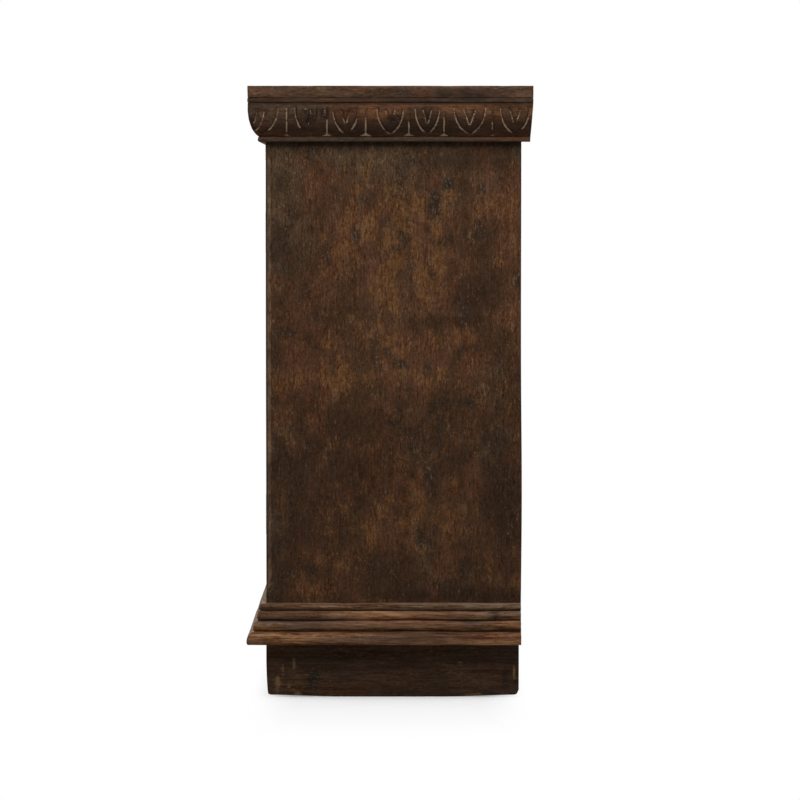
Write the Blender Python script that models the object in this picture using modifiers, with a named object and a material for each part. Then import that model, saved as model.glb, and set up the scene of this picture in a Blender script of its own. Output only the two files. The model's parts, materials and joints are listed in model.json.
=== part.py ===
"""A carved hardwood side cabinet with two framed doors.

The cabinet stands on a mitred plinth and carries a reeded base moulding, two solid plank ends with stopped
chamfers, a front frame with a pair of panelled doors, boarded back, a shelf, and a top over a deep cornice.

Metres, +Z up. The front faces -Y. The origin is on the floor, under the middle of the cabinet.
"""

import math

import bmesh
import bpy
from mathutils import Matrix, Vector

# Overall sizes
HEIGHT = 0.907
CARCASE_WIDTH = 0.900
CARCASE_DEPTH = 0.3789
TOP_OVERHANG = 0.0255
BACK_OVERHANG = 0.0167
FIT_GAP = 0.0003
ARRIS = 0.001

# Top board, fillet under it, and cornice
TOP_THICKNESS = 0.018
FILLET_THICKNESS = 0.0065
CORNICE_HEIGHT = 0.0573
CORNICE_SETBACK = 0.0008
CORNICE_LIP = 0.0080
CORNICE_BEAD_HEIGHT = 0.0092
CORNICE_BEAD_PROJECTION = 0.0103
CORNICE_BEAD_ROUND = 0.0035
CORNICE_QUIRK = 0.0015
CORNICE_BACK_SLANT = 0.0044
OVOLO_SWEEP = 75.0

# Plinth
PLINTH_HEIGHT = 0.103
PLINTH_THICKNESS = 0.020
PLINTH_INSET = 0.001
PLINTH_BACK_INSET = 0.0028
BLOCK_SIDE = 0.030
BLOCK_DROP = 0.010

# Base moulding: four beads, the lowest first
BASE_FOOT = 0.0805
BEAD_HEIGHTS = (0.0189, 0.0158, 0.0144, 0.0114)
BEAD_PROJECTIONS = (0.0280, 0.0183, 0.0126, 0.0096)
BEAD_FLAT = 0.0050
BEAD_QUIRK = 0.0015
BEAD_GROOVE = 0.0008
BEAD_ROUND = 0.0040

# Plank ends
END_THICKNESS = 0.025
CHAMFER = 0.008
CHAMFER_RUNOUT = 0.012
CHAMFER_HEAD = 0.0215
CHAMFER_FOOT = 0.0162

# Front frame
FRAME_THICKNESS = 0.027
FRAME_STILE = 0.035
HEAD_RAIL_SHOW = 0.047
FOOT_RAIL_SHOW = 0.040
FRAME_TENON = 0.020
TENON_THICKNESS = 0.008
TENON_SHOULDER = 0.008

# Floor, shelf and back
FLOOR_THICKNESS = 0.020
DOOR_STOP = 0.010
HOUSING = 0.008
SHELF_HEIGHT = 0.470
SHELF_THICKNESS = 0.018
SHELF_SETBACK = 0.055
BEARER_SIDE = 0.020
BACK_BOARDS = 4
BACK_THICKNESS = 0.012
BACK_LAP = 0.008
BACK_SEAM = 0.001
BACK_REBATE = 0.010
BACK_RAIL_HEIGHT = 0.060
BACK_RAIL_THICKNESS = 0.020

# Doors, set back a little behind the face of the frame
DOOR_THICKNESS = 0.024
DOOR_SETBACK = 0.002
DOOR_GAP = 0.002
DOOR_STILE = 0.060
DOOR_HEAD = 0.060
DOOR_FOOT = 0.075
DOOR_TENON = 0.030
PANEL_TONGUE = 0.006
PANEL_GROOVE = 0.008
PANEL_PLAY = 0.001
PANEL_MARGIN = 0.003
PANEL_BEVEL = 0.028
PANEL_RAISE = 0.007

# Lift-off hinges, half sunk: the lower knuckle and its pin belong to the frame, the upper knuckle to the door
HINGE_LENGTH = 0.060
HINGE_WIDTH = 0.020
HINGE_LEAF = 0.0014
HINGE_LEAF_PLAY = 0.0004
HINGE_INSET = 0.085
KNUCKLE_RADIUS = 0.003
KNUCKLE_CLEARANCE = 0.0004
PIN_STANDOFF = 0.001
PIN_RADIUS = 0.0015
PIN_PLAY = 0.0003
PIN_RISE = 0.022
PIN_ROOT = 0.010

# Knobs, and the latch tongue that the right-hand knob turns
KNOB_RADIUS = 0.014
KNOB_PROJECTION = 0.016
KNOB_NECK_RADIUS = 0.006
KNOB_FLANGE_RADIUS = 0.010
KNOB_FLANGE = 0.003
KNOB_STANDOFF = 0.0005
SPINDLE_RADIUS = 0.004
SPINDLE_PLAY = 0.0004
SPINDLE_TAIL = 0.002
DUMMY_SPINDLE = 0.014
TONGUE_THICKNESS = 0.004
TONGUE_WIDTH = 0.016
TONGUE_REACH = 0.012
TONGUE_CLEARANCE = 0.0008

# Sliding bolt behind the left-hand door
BOLT_PLATE_WIDTH = 0.018
BOLT_PLATE_LENGTH = 0.080
BOLT_PLATE = 0.0015
BOLT_GUIDE = 0.008
BOLT_GUIDE_WALL = 0.003
BOLT_ROD_RADIUS = 0.003
BOLT_ROD_PLAY = 0.0004
BOLT_STANDOFF = 0.0070
BOLT_DROP = 0.004
BOLT_TAIL = 0.004
BOLT_THUMB_RADIUS = 0.003
BOLT_THUMB = 0.010
BOLT_THUMB_LIFT = 0.012

# Facets
ROUND_SIDES = 24
ARC_STEPS = 8
BEAD_STEPS = 5

# Places worked out from the sizes above
BASE_REACH = BEAD_PROJECTIONS[0] + FIT_GAP
FRONT = (BASE_REACH - CARCASE_DEPTH - BACK_OVERHANG) / 2
BACK = FRONT + CARCASE_DEPTH
TOP_FRONT = FRONT - TOP_OVERHANG
TOP_BACK = BACK + BACK_OVERHANG
END_FACE = CARCASE_WIDTH / 2
END_INNER = END_FACE - END_THICKNESS
TOP_UNDER = HEIGHT - TOP_THICKNESS
CARCASE_TOP = TOP_UNDER - FIT_GAP
CARCASE_FOOT = PLINTH_HEIGHT + FIT_GAP
FILLET_UNDER = TOP_UNDER - FILLET_THICKNESS
CORNICE_TOP = FILLET_UNDER - FIT_GAP
CORNICE_FOOT = CORNICE_TOP - CORNICE_HEIGHT
CORNICE_PROJECTION = TOP_OVERHANG - CORNICE_SETBACK
BASE_TOP = BASE_FOOT + sum(BEAD_HEIGHTS)
BACK_INSIDE = BACK - BACK_THICKNESS
FRAME_BACK = FRONT + FRAME_THICKNESS
OPENING_HALF = END_INNER - FIT_GAP - FRAME_STILE
OPENING_HEAD = CORNICE_FOOT - HEAD_RAIL_SHOW
OPENING_FOOT = BASE_TOP + FOOT_RAIL_SHOW
FLOOR_TOP = OPENING_FOOT + DOOR_STOP
FLOOR_FRONT = FRAME_BACK + FIT_GAP
DOOR_OUTER = OPENING_HALF - DOOR_GAP
DOOR_INNER = DOOR_GAP / 2
DOOR_HEAD_EDGE = OPENING_HEAD - DOOR_GAP
DOOR_FOOT_EDGE = OPENING_FOOT + DOOR_GAP
DOOR_FRONT = FRONT + DOOR_SETBACK
DOOR_BACK = DOOR_FRONT + DOOR_THICKNESS
DOOR_MIDDLE = DOOR_FRONT + DOOR_THICKNESS / 2
PIN_X = OPENING_HALF - DOOR_GAP / 2
PIN_Y = DOOR_FRONT - PIN_STANDOFF
KNOB_X = DOOR_INNER + DOOR_STILE / 2
KNOB_Z = (DOOR_HEAD_EDGE + DOOR_FOOT_EDGE) / 2
HINGE_LET_IN = HINGE_LEAF - (DOOR_GAP - HINGE_LEAF_PLAY) / 2

UP = Vector((0.0, 0.0, 1.0))
RIGHT, LEFT = 1, -1
SIDE_NAMES = {RIGHT: "right", LEFT: "left"}


# Scene and materials


def clear_scene():
    for item in list(bpy.data.objects):
        bpy.data.objects.remove(item)


def new_group(name):
    group = bpy.data.collections.new(name)
    bpy.context.scene.collection.children.link(group)
    return group


def finish(name, colour, roughness, metallic=0.0):
    """A plain Principled BSDF in the colour of one part of the cabinet."""
    material = bpy.data.materials.new(name)
    material.use_nodes = True
    shader = material.node_tree.nodes["Principled BSDF"]
    shader.inputs["Base Color"].default_value = (*colour, 1.0)
    shader.inputs["Roughness"].default_value = roughness
    shader.inputs["Metallic"].default_value = metallic
    return material


clear_scene()
PARTS = new_group("carved_side_cabinet")
CUTTERS = new_group("cutters")
PLANK = finish("dark_plank", (0.055, 0.027, 0.014), 0.62)
MOULDING = finish("worn_moulding", (0.090, 0.052, 0.029), 0.58)
PLINTH_WOOD = finish("plinth_wood", (0.024, 0.013, 0.008), 0.66)
TOP_WOOD = finish("top_wood", (0.068, 0.040, 0.024), 0.60)
INSIDE_WOOD = finish("inside_wood", (0.130, 0.080, 0.045), 0.75)
IRON = finish("dark_iron", (0.045, 0.042, 0.040), 0.48, 0.85)


# Building blocks


def new_object(name, mesh, group, material=None):
    item = bpy.data.objects.new(name, mesh)
    group.objects.link(item)
    if material:
        item.data.materials.append(material)
    if group is CUTTERS:
        item.hide_render = True
        item.display_type = "WIRE"
    return item


def finished_mesh(shape, name, smooth=False):
    """The closed mesh of a bmesh, with its faces turned outwards."""
    bmesh.ops.recalc_face_normals(shape, faces=shape.faces)
    mesh = bpy.data.meshes.new(name)
    shape.to_mesh(mesh)
    shape.free()
    if smooth:
        mesh.shade_smooth()
        mesh.set_sharp_from_angle(angle=math.radians(40))
    return mesh


def block(name, corner, opposite, group=CUTTERS, material=None):
    """A squared block between two opposite corners, with its origin at its middle."""
    low = Vector(map(min, corner, opposite))
    high = Vector(map(max, corner, opposite))
    shape = bmesh.new()
    bmesh.ops.create_cube(shape, size=1.0, matrix=Matrix.Diagonal((*(high - low), 1.0)))
    item = new_object(name, finished_mesh(shape, name), group, material)
    item.location = (low + high) / 2
    return item


def board(name, corner, opposite, material):
    """A block of wood with softened arrises."""
    item = block(name, corner, opposite, PARTS, material)
    arris = item.modifiers.new("arris", "BEVEL")
    arris.width = ARRIS
    arris.segments = 1
    return item


def rod(name, radius, foot, head, group=CUTTERS, material=None):
    """A round rod between two points."""
    foot, head = Vector(foot), Vector(head)
    shape = bmesh.new()
    bmesh.ops.create_cone(
        shape,
        cap_ends=True,
        segments=ROUND_SIDES,
        radius1=radius,
        radius2=radius,
        depth=(head - foot).length,
    )
    item = new_object(name, finished_mesh(shape, name, smooth=True), group, material)
    item.location = (foot + head) / 2
    item.rotation_euler = (head - foot).to_track_quat("Z", "Y").to_euler()
    return item


def shape_with(item, tool, operation):
    change = item.modifiers.new(tool.name, "BOOLEAN")
    change.operation = operation
    change.object = tool


def cut(item, tool):
    shape_with(item, tool, "DIFFERENCE")


def join(item, tool):
    shape_with(item, tool, "UNION")


def axis_empty(name, place, carrier=None):
    """An empty on a joint's axis, which carries the pieces that move about it."""
    empty = bpy.data.objects.new(name, None)
    PARTS.objects.link(empty)
    empty.empty_display_size = KNOB_RADIUS
    empty.location = place
    if carrier:
        carry(carrier, [empty])
    return empty


def carry(empty, items):
    """Parents pieces to an empty and leaves their places, and so an empty's own, in world coordinates."""
    for item in items:
        item.parent = empty
        item.matrix_parent_inverse = Matrix.Translation(-empty.location)


def arc(centre, radii, first, last, steps):
    """Points on an ellipse from one angle to another, in degrees."""
    points = []
    for step in range(steps + 1):
        angle = math.radians(first + (last - first) * step / steps)
        points.append((centre[0] + radii[0] * math.cos(angle), centre[1] + radii[1] * math.sin(angle)))
    return points


def outline_mesh(name, outlines, thickness):
    """A mesh plate from closed flat outlines, an inner one being a hole."""
    curve = bpy.data.curves.new(name, "CURVE")
    curve.dimensions = "2D"
    curve.fill_mode = "BOTH"
    curve.extrude = thickness / 2
    for outline in outlines:
        spline = curve.splines.new("POLY")
        spline.points.add(len(outline) - 1)
        for point, place in zip(spline.points, outline):
            point.co = (*place, 0.0, 1.0)
        spline.use_cyclic_u = True
    pattern = new_object(name, curve, PARTS)
    graph = bpy.context.evaluated_depsgraph_get()
    mesh = bpy.data.meshes.new_from_object(pattern.evaluated_get(graph))
    bpy.data.objects.remove(pattern)
    bpy.data.curves.remove(curve)
    shape = bmesh.new()
    shape.from_mesh(mesh)
    bpy.data.meshes.remove(mesh)
    bmesh.ops.remove_doubles(shape, verts=shape.verts, dist=FIT_GAP / 100)
    return shape


def trim(shape, place, outward):
    """Cuts a shape off at a plane, drops what is outward of it and closes the cut."""
    geometry = [*shape.verts, *shape.edges, *shape.faces]
    cut_edges = bmesh.ops.bisect_plane(
        shape, geom=geometry, plane_co=place, plane_no=outward, clear_outer=True
    )["geom_cut"]
    edges = [item for item in cut_edges if isinstance(item, bmesh.types.BMEdge)]
    bmesh.ops.holes_fill(shape, edges=edges)


def strip(name, profile, start, end, mitres, slant, material):
    """A length of moulding along a wall from start to end.

    The profile holds (projection, height) points. In the strip's own frame X is outward, Y is up and Z runs
    along the wall. A mitred end runs on past the corner with the projection. A plain end is cut square, or
    undercut by slant over the height of the profile.
    """
    start, end = Vector(start), Vector(end)
    length = (end - start).length
    along = (end - start).normalized()
    outward = UP.cross(along)
    reach = max(projection for projection, height in profile)
    top = max(height for projection, height in profile)
    foot = min(height for projection, height in profile)
    spare = reach + PLINTH_THICKNESS
    shape = outline_mesh(name, [profile], length + 2 * spare)
    for mitred, sign in zip(mitres, (-1, 1)):
        if mitred:
            place = (0.0, 0.0, sign * (length - FIT_GAP) / 2)
            trim(shape, place, (-1.0, 0.0, sign))
        else:
            trim(shape, (0.0, top, sign * length / 2), (0.0, -slant / (top - foot), sign))
    item = new_object(name, finished_mesh(shape, name), PARTS, material)
    frame = Matrix((outward, UP, along)).transposed().to_4x4()
    item.matrix_world = Matrix.Translation((start + end) / 2) @ frame
    return item


def run_round(name, profile, half_width, front, back, material, slant=0.0):
    """One moulding round the right end, the front and the left end, mitred at the two front corners."""
    corners = [
        (half_width, back, 0.0),
        (half_width, front, 0.0),
        (-half_width, front, 0.0),
        (-half_width, back, 0.0),
    ]
    mitres = {"right": (False, True), "front": (True, True), "left": (True, False)}
    for number, (side, ends) in enumerate(mitres.items()):
        strip(f"{name}_{side}", profile, corners[number], corners[number + 1], ends, slant, material)


# Plinth and base moulding


def plinth():
    half = END_FACE - PLINTH_INSET
    back = BACK - PLINTH_BACK_INSET
    profile = [(-PLINTH_THICKNESS, 0), (0, 0), (0, PLINTH_HEIGHT), (-PLINTH_THICKNESS, PLINTH_HEIGHT)]
    run_round("plinth", profile, half, FRONT, back, PLINTH_WOOD)
    inside = half - PLINTH_THICKNESS - FIT_GAP
    board("plinth_back", (-inside, back - PLINTH_THICKNESS, 0), (inside, back, PLINTH_HEIGHT), PLINTH_WOOD)
    corner_faces = {"front": FRONT + PLINTH_THICKNESS + FIT_GAP, "back": back - PLINTH_THICKNESS - FIT_GAP}
    for end, face in corner_faces.items():
        inner = face + (BLOCK_SIDE if end == "front" else -BLOCK_SIDE)
        for side, side_name in SIDE_NAMES.items():
            board(
                f"plinth_block_{end}_{side_name}",
                (side * inside, face, BLOCK_DROP),
                (side * (inside - BLOCK_SIDE), inner, PLINTH_HEIGHT - BLOCK_DROP),
                INSIDE_WOOD,
            )


def base_profile():
    """Four beads that step in as they rise, with a dark groove under each upper one."""
    points = [(0.0, BASE_FOOT)]
    foot = BASE_FOOT
    inner_edges = [upper - BEAD_QUIRK for upper in BEAD_PROJECTIONS[1:]]
    inner_edges.append(BEAD_PROJECTIONS[-1] - BEAD_ROUND)
    for height, projection, inner in zip(BEAD_HEIGHTS, BEAD_PROJECTIONS, inner_edges):
        head = foot + height
        lip = foot if foot == BASE_FOOT else foot + BEAD_GROOVE
        if lip > foot:
            points.append((points[-1][0], lip))
        points.append((projection - BEAD_GROOVE, lip))
        points.append((projection, lip + BEAD_GROOVE))
        shoulder = foot + BEAD_FLAT
        points += arc((inner, shoulder), (projection - inner, head - shoulder), 0, 90, BEAD_STEPS)
        foot = head
    points.append((0.0, foot))
    return points


def base_moulding():
    run_round("base_moulding", base_profile(), END_FACE + FIT_GAP, FRONT - FIT_GAP, BACK, MOULDING)


# Carcase


def chamfer_cutter(side):
    """A long diamond on the front outer corner that dies away to a point at both ends."""
    foot = BASE_TOP + CHAMFER_FOOT + CHAMFER_RUNOUT
    head = CORNICE_FOOT - CHAMFER_HEAD - CHAMFER_RUNOUT
    name = f"chamfer_{SIDE_NAMES[side]}"
    shape = bmesh.new()
    bmesh.ops.create_cone(
        shape, cap_ends=True, segments=4, radius1=CHAMFER, radius2=CHAMFER, depth=head - foot
    )
    for end in [face for face in shape.faces if abs(face.normal.z) > 0.9]:
        drawn = bmesh.ops.poke(shape, faces=[end])["verts"]
        away = math.copysign(CHAMFER_RUNOUT, drawn[0].co.z)
        bmesh.ops.translate(shape, verts=drawn, vec=(0.0, 0.0, away))
    item = new_object(name, finished_mesh(shape, name), CUTTERS)
    item.location = (side * END_FACE, FRONT, (foot + head) / 2)
    return item


def plank_ends(floor_ends):
    """The two solid ends: housed for the floor, rebated for the back, with a stopped front chamfer."""
    for side, name in SIDE_NAMES.items():
        end = board(
            f"end_panel_{name}",
            (side * END_INNER, FRONT, CARCASE_FOOT),
            (side * END_FACE, BACK, CARCASE_TOP),
            PLANK,
        )
        rebate = block(
            f"back_rebate_{name}",
            (side * (END_INNER - BACK_REBATE), BACK_INSIDE - FIT_GAP, 0),
            (side * (END_INNER + BACK_REBATE), BACK + BACK_OVERHANG, HEIGHT),
        )
        cut(end, chamfer_cutter(side))
        cut(end, rebate)
        cut(end, floor_ends)


def carcase_floor():
    """The floor board, let into both ends. Returns the cutter for its housings."""
    half = END_INNER + HOUSING
    front, back = FLOOR_FRONT, BACK_INSIDE - 2 * FIT_GAP
    foot = FLOOR_TOP - FLOOR_THICKNESS
    board("floor_board", (-half, front, foot), (half, back, FLOOR_TOP), INSIDE_WOOD)
    return block(
        "floor_housing",
        (-half - FIT_GAP, front - FIT_GAP, foot - FIT_GAP),
        (half + FIT_GAP, BACK_INSIDE, FLOOR_TOP + FIT_GAP),
    )


def shelf():
    front, back = FRONT + SHELF_SETBACK, BACK_INSIDE - FIT_GAP * 2
    half = END_INNER - FIT_GAP
    board(
        "shelf",
        (-half, front, SHELF_HEIGHT),
        (half, back, SHELF_HEIGHT + SHELF_THICKNESS),
        INSIDE_WOOD,
    )
    for side, name in SIDE_NAMES.items():
        board(
            f"shelf_bearer_{name}",
            (side * half, front, SHELF_HEIGHT - FIT_GAP - BEARER_SIDE),
            (side * (half - BEARER_SIDE), back, SHELF_HEIGHT - FIT_GAP),
            INSIDE_WOOD,
        )


def boarded_back():
    """Upright boards, half lapped at their edges, that lie in the rebates of the ends."""
    half = END_INNER + BACK_REBATE - FIT_GAP
    pitch = (2 * half + BACK_SEAM) / BACK_BOARDS
    middle = BACK_INSIDE + BACK_THICKNESS / 2
    for number in range(BACK_BOARDS):
        left = -half + number * pitch
        right = left + pitch - BACK_SEAM
        left_lip = left - BACK_LAP if number else left
        right_inset = right - BACK_LAP if number < BACK_BOARDS - 1 else right
        outline = [
            (left, BACK_INSIDE),
            (right, BACK_INSIDE),
            (right, middle - FIT_GAP / 2),
            (right_inset, middle - FIT_GAP / 2),
            (right_inset, BACK),
            (left_lip, BACK),
            (left_lip, middle + FIT_GAP / 2),
            (left, middle + FIT_GAP / 2),
        ]
        if not number:
            outline = outline[:-1]
        if number == BACK_BOARDS - 1:
            outline = outline[:2] + outline[4:]
        name = f"back_board_{number + 1}"
        shape = outline_mesh(name, [outline], CARCASE_TOP - CARCASE_FOOT)
        item = new_object(name, finished_mesh(shape, name), PARTS, INSIDE_WOOD)
        item.location.z = (CARCASE_TOP + CARCASE_FOOT) / 2
    inside = END_INNER - FIT_GAP
    rail_back = BACK_INSIDE - FIT_GAP
    board(
        "back_rail",
        (-inside, rail_back - BACK_RAIL_THICKNESS, CARCASE_TOP - BACK_RAIL_HEIGHT),
        (inside, rail_back, CARCASE_TOP),
        INSIDE_WOOD,
    )


# Framed joinery, shared by the front frame and the doors


def tenoned_rail(name, low, high, tenon, front, thickness):
    """A rail between two uprights with a tenon at each end. Returns the rail and the mortise cutter.

    low and high are (x, z) corners of the rail between its shoulders.
    """
    (x_low, z_low), (x_high, z_high) = low, high
    x_low, x_high = min(x_low, x_high), max(x_low, x_high)
    item = board(name, (x_low, front, z_low), (x_high, front + thickness, z_high), PLANK)
    middle = front + thickness / 2
    half = TENON_THICKNESS / 2
    tenon_low = Vector((x_low - tenon, middle - half, z_low + TENON_SHOULDER))
    tenon_high = Vector((x_high + tenon, middle + half, z_high - TENON_SHOULDER))
    play = Vector((FIT_GAP, FIT_GAP, FIT_GAP))
    join(item, block(f"{name}_tenon", tenon_low, tenon_high))
    return item, block(f"{name}_mortise", tenon_low - play, tenon_high + play)


def front_frame():
    """Two stiles between the ends, with a head rail behind the cornice and a foot rail behind the beads."""
    outer = END_INNER - FIT_GAP
    shoulder = OPENING_HALF - FIT_GAP
    rails = {
        "frame_head_rail": (OPENING_HEAD, CARCASE_TOP),
        "frame_foot_rail": (CARCASE_FOOT, OPENING_FOOT),
    }
    mortises = []
    for name, (z_low, z_high) in rails.items():
        low, high = (-shoulder, z_low), (shoulder, z_high)
        mortises.append(tenoned_rail(name, low, high, FRAME_TENON, FRONT, FRAME_THICKNESS)[1])
    stiles = {}
    for side, name in SIDE_NAMES.items():
        stile = board(
            f"frame_stile_{name}",
            (side * OPENING_HALF, FRONT, CARCASE_FOOT),
            (side * outer, FRAME_BACK, CARCASE_TOP),
            PLANK,
        )
        for mortise in mortises:
            cut(stile, mortise)
        stiles[side] = stile
    return stiles


# Top and cornice


def cornice_profile():
    """A small bead, then a tall ovolo that swells out to an upright lip."""
    bead_head = CORNICE_FOOT + CORNICE_BEAD_HEIGHT
    points = arc(
        (0.0, CORNICE_FOOT + CORNICE_BEAD_ROUND),
        (CORNICE_BEAD_PROJECTION, CORNICE_BEAD_ROUND),
        -90,
        0,
        BEAD_STEPS,
    )
    start = CORNICE_BEAD_PROJECTION - CORNICE_QUIRK
    points.append((CORNICE_BEAD_PROJECTION, bead_head - CORNICE_QUIRK))
    sweep = math.radians(OVOLO_SWEEP)
    width = (CORNICE_PROJECTION - start) / (1 - math.cos(sweep))
    crown = CORNICE_TOP - CORNICE_LIP
    rise = (crown - bead_head) / math.sin(sweep)
    points += arc((CORNICE_PROJECTION - width, crown), (width, rise), -OVOLO_SWEEP, 0, ARC_STEPS)
    return points + [(CORNICE_PROJECTION, CORNICE_TOP), (0.0, CORNICE_TOP)]


def top_and_cornice():
    half = END_FACE + TOP_OVERHANG
    board("top_board", (-half, TOP_FRONT, TOP_UNDER), (half, TOP_BACK, HEIGHT), TOP_WOOD)
    face, front = END_FACE + FIT_GAP, FRONT - FIT_GAP
    reach = TOP_OVERHANG - FIT_GAP
    fillet = [(0.0, FILLET_UNDER), (reach, FILLET_UNDER), (reach, CARCASE_TOP), (0.0, CARCASE_TOP)]
    run_round("top_fillet", fillet, face, front, TOP_BACK, TOP_WOOD)
    run_round("cornice", cornice_profile(), face, front, TOP_BACK, MOULDING, CORNICE_BACK_SLANT)


# Doors


def door_panel(side, name):
    """A fielded panel whose tongue lies in a groove round the door's frame. Returns the groove's cutter."""
    reach = PANEL_GROOVE - PANEL_PLAY
    low = Vector((DOOR_INNER + DOOR_STILE - reach, 0, DOOR_FOOT_EDGE + DOOR_FOOT - reach))
    high = Vector((DOOR_OUTER - DOOR_STILE + reach, 0, DOOR_HEAD_EDGE - DOOR_HEAD + reach))
    low.y, high.y = DOOR_MIDDLE - PANEL_TONGUE / 2, DOOR_MIDDLE + PANEL_TONGUE / 2
    panel = block(f"{name}_panel", low, high, PARTS, PLANK)
    panel.location.x *= side
    shape = bmesh.new()
    shape.from_mesh(panel.data)
    front_face = [face for face in shape.faces if face.normal.y < -0.9]
    bmesh.ops.inset_region(shape, faces=front_face, thickness=reach + PANEL_MARGIN)
    bmesh.ops.inset_region(shape, faces=front_face, thickness=PANEL_BEVEL, depth=PANEL_RAISE)
    shape.to_mesh(panel.data)
    shape.free()
    play = Vector((PANEL_PLAY, FIT_GAP, PANEL_PLAY))
    groove = block(f"{name}_groove", low - play, high + play)
    groove.location.x *= side
    return panel, groove


def door_frame(side, name):
    """Stiles, rails and panel of one door. Returns the pieces, the two stiles and the cutters."""
    panel, groove = door_panel(side, name)
    shoulders = (DOOR_INNER + DOOR_STILE + FIT_GAP, DOOR_OUTER - DOOR_STILE - FIT_GAP)
    rails = {
        "head_rail": (DOOR_HEAD_EDGE - DOOR_HEAD, DOOR_HEAD_EDGE),
        "foot_rail": (DOOR_FOOT_EDGE, DOOR_FOOT_EDGE + DOOR_FOOT),
    }
    pieces, cutters = [panel], [groove]
    for rail_name, (z_low, z_high) in rails.items():
        low, high = (side * shoulders[0], z_low), (side * shoulders[1], z_high)
        rail, mortise = tenoned_rail(
            f"{name}_{rail_name}", low, high, DOOR_TENON, DOOR_FRONT, DOOR_THICKNESS
        )
        cut(rail, groove)
        pieces.append(rail)
        cutters.append(mortise)
    edges = {
        "hinge_stile": (DOOR_OUTER - DOOR_STILE, DOOR_OUTER),
        "meeting_stile": (DOOR_INNER, DOOR_INNER + DOOR_STILE),
    }
    stiles = {}
    for stile_name, (x_low, x_high) in edges.items():
        stile = board(
            f"{name}_{stile_name}",
            (side * x_low, DOOR_FRONT, DOOR_FOOT_EDGE),
            (side * x_high, DOOR_BACK, DOOR_HEAD_EDGE),
            PLANK,
        )
        for cutter in cutters:
            cut(stile, cutter)
        stiles[stile_name] = stile
    return pieces + list(stiles.values()), stiles, cutters


def hinge_leaf(name, side, hand, z):
    """One iron leaf with its knuckle, cut away round the other leaf's knuckle.

    hand is +1 for the frame's leaf, whose knuckle is the lower one, and -1 for the door's.
    """
    pin_x = side * PIN_X
    near = side * hand * HINGE_LEAF_PLAY / 2
    far = near + side * hand * HINGE_LEAF
    low, high = z - HINGE_LENGTH / 2, z + HINGE_LENGTH / 2
    knuckle_low, knuckle_high = (low, z - FIT_GAP) if hand > 0 else (z, high)
    clear_low, clear_high = (z - 2 * FIT_GAP, high + FIT_GAP) if hand > 0 else (low - FIT_GAP, z + FIT_GAP)
    leaf_front = DOOR_FRONT + FIT_GAP
    leaf = block(
        name,
        (pin_x + near, leaf_front, low),
        (pin_x + far, leaf_front + HINGE_WIDTH, high),
        PARTS,
        IRON,
    )
    neck = block(
        f"{name}_neck",
        (pin_x + near, PIN_Y, knuckle_low),
        (pin_x + far, leaf_front + KNUCKLE_RADIUS, knuckle_high),
    )
    knuckle = rod(
        f"{name}_knuckle",
        KNUCKLE_RADIUS,
        (pin_x, PIN_Y, knuckle_low),
        (pin_x, PIN_Y, knuckle_high),
    )
    clear = rod(
        f"{name}_clear",
        KNUCKLE_RADIUS + KNUCKLE_CLEARANCE,
        (pin_x, PIN_Y, clear_low),
        (pin_x, PIN_Y, clear_high),
    )
    cut(leaf, clear)
    join(leaf, neck)
    join(leaf, knuckle)
    return leaf, [neck, knuckle, clear]


def hinge_recess(name, side, hand, z):
    """The shallow recess that lets one leaf into the edge of the wood."""
    pin_x = side * PIN_X
    edge = side * hand * DOOR_GAP / 2
    depth = edge + side * hand * (HINGE_LET_IN + FIT_GAP)
    reach = HINGE_LENGTH / 2 + FIT_GAP
    return block(
        name,
        (pin_x, FRONT - KNUCKLE_RADIUS, z - reach),
        (pin_x + depth, DOOR_FRONT + HINGE_WIDTH + 2 * FIT_GAP, z + reach),
    )


def hinges(side, name, frame_stile, door_stile):
    """Two lift-off hinges. Returns the pieces and cutters that go with the door."""
    moving = []
    heights = {"lower": DOOR_FOOT_EDGE + HINGE_INSET, "upper": DOOR_HEAD_EDGE - HINGE_INSET}
    for place, z in heights.items():
        label = f"{name}_{place}_hinge"
        low, high = z - HINGE_LENGTH / 2, z + HINGE_LENGTH / 2
        frame_leaf, _ = hinge_leaf(f"{label}_frame_leaf", side, 1, z)
        pin_x = side * PIN_X
        pin = rod(f"{label}_pin", PIN_RADIUS, (pin_x, PIN_Y, z - PIN_ROOT), (pin_x, PIN_Y, z + PIN_RISE))
        join(frame_leaf, pin)
        door_leaf, tools = hinge_leaf(f"{label}_door_leaf", side, -1, z)
        bore = rod(
            f"{label}_bore",
            PIN_RADIUS + PIN_PLAY,
            (pin_x, PIN_Y, low),
            (pin_x, PIN_Y, high + KNUCKLE_RADIUS),
        )
        cut(door_leaf, bore)
        hollow = rod(
            f"{label}_hollow",
            KNUCKLE_RADIUS + KNUCKLE_CLEARANCE,
            (pin_x, PIN_Y, low - FIT_GAP),
            (pin_x, PIN_Y, high + FIT_GAP),
        )
        for stile in (frame_stile, door_stile):
            cut(stile, hollow)
        cut(frame_stile, hinge_recess(f"{label}_frame_recess", side, 1, z))
        door_recess = hinge_recess(f"{label}_door_recess", side, -1, z)
        cut(door_stile, door_recess)
        moving += [door_leaf, bore, door_recess, *tools]
    return moving


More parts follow.
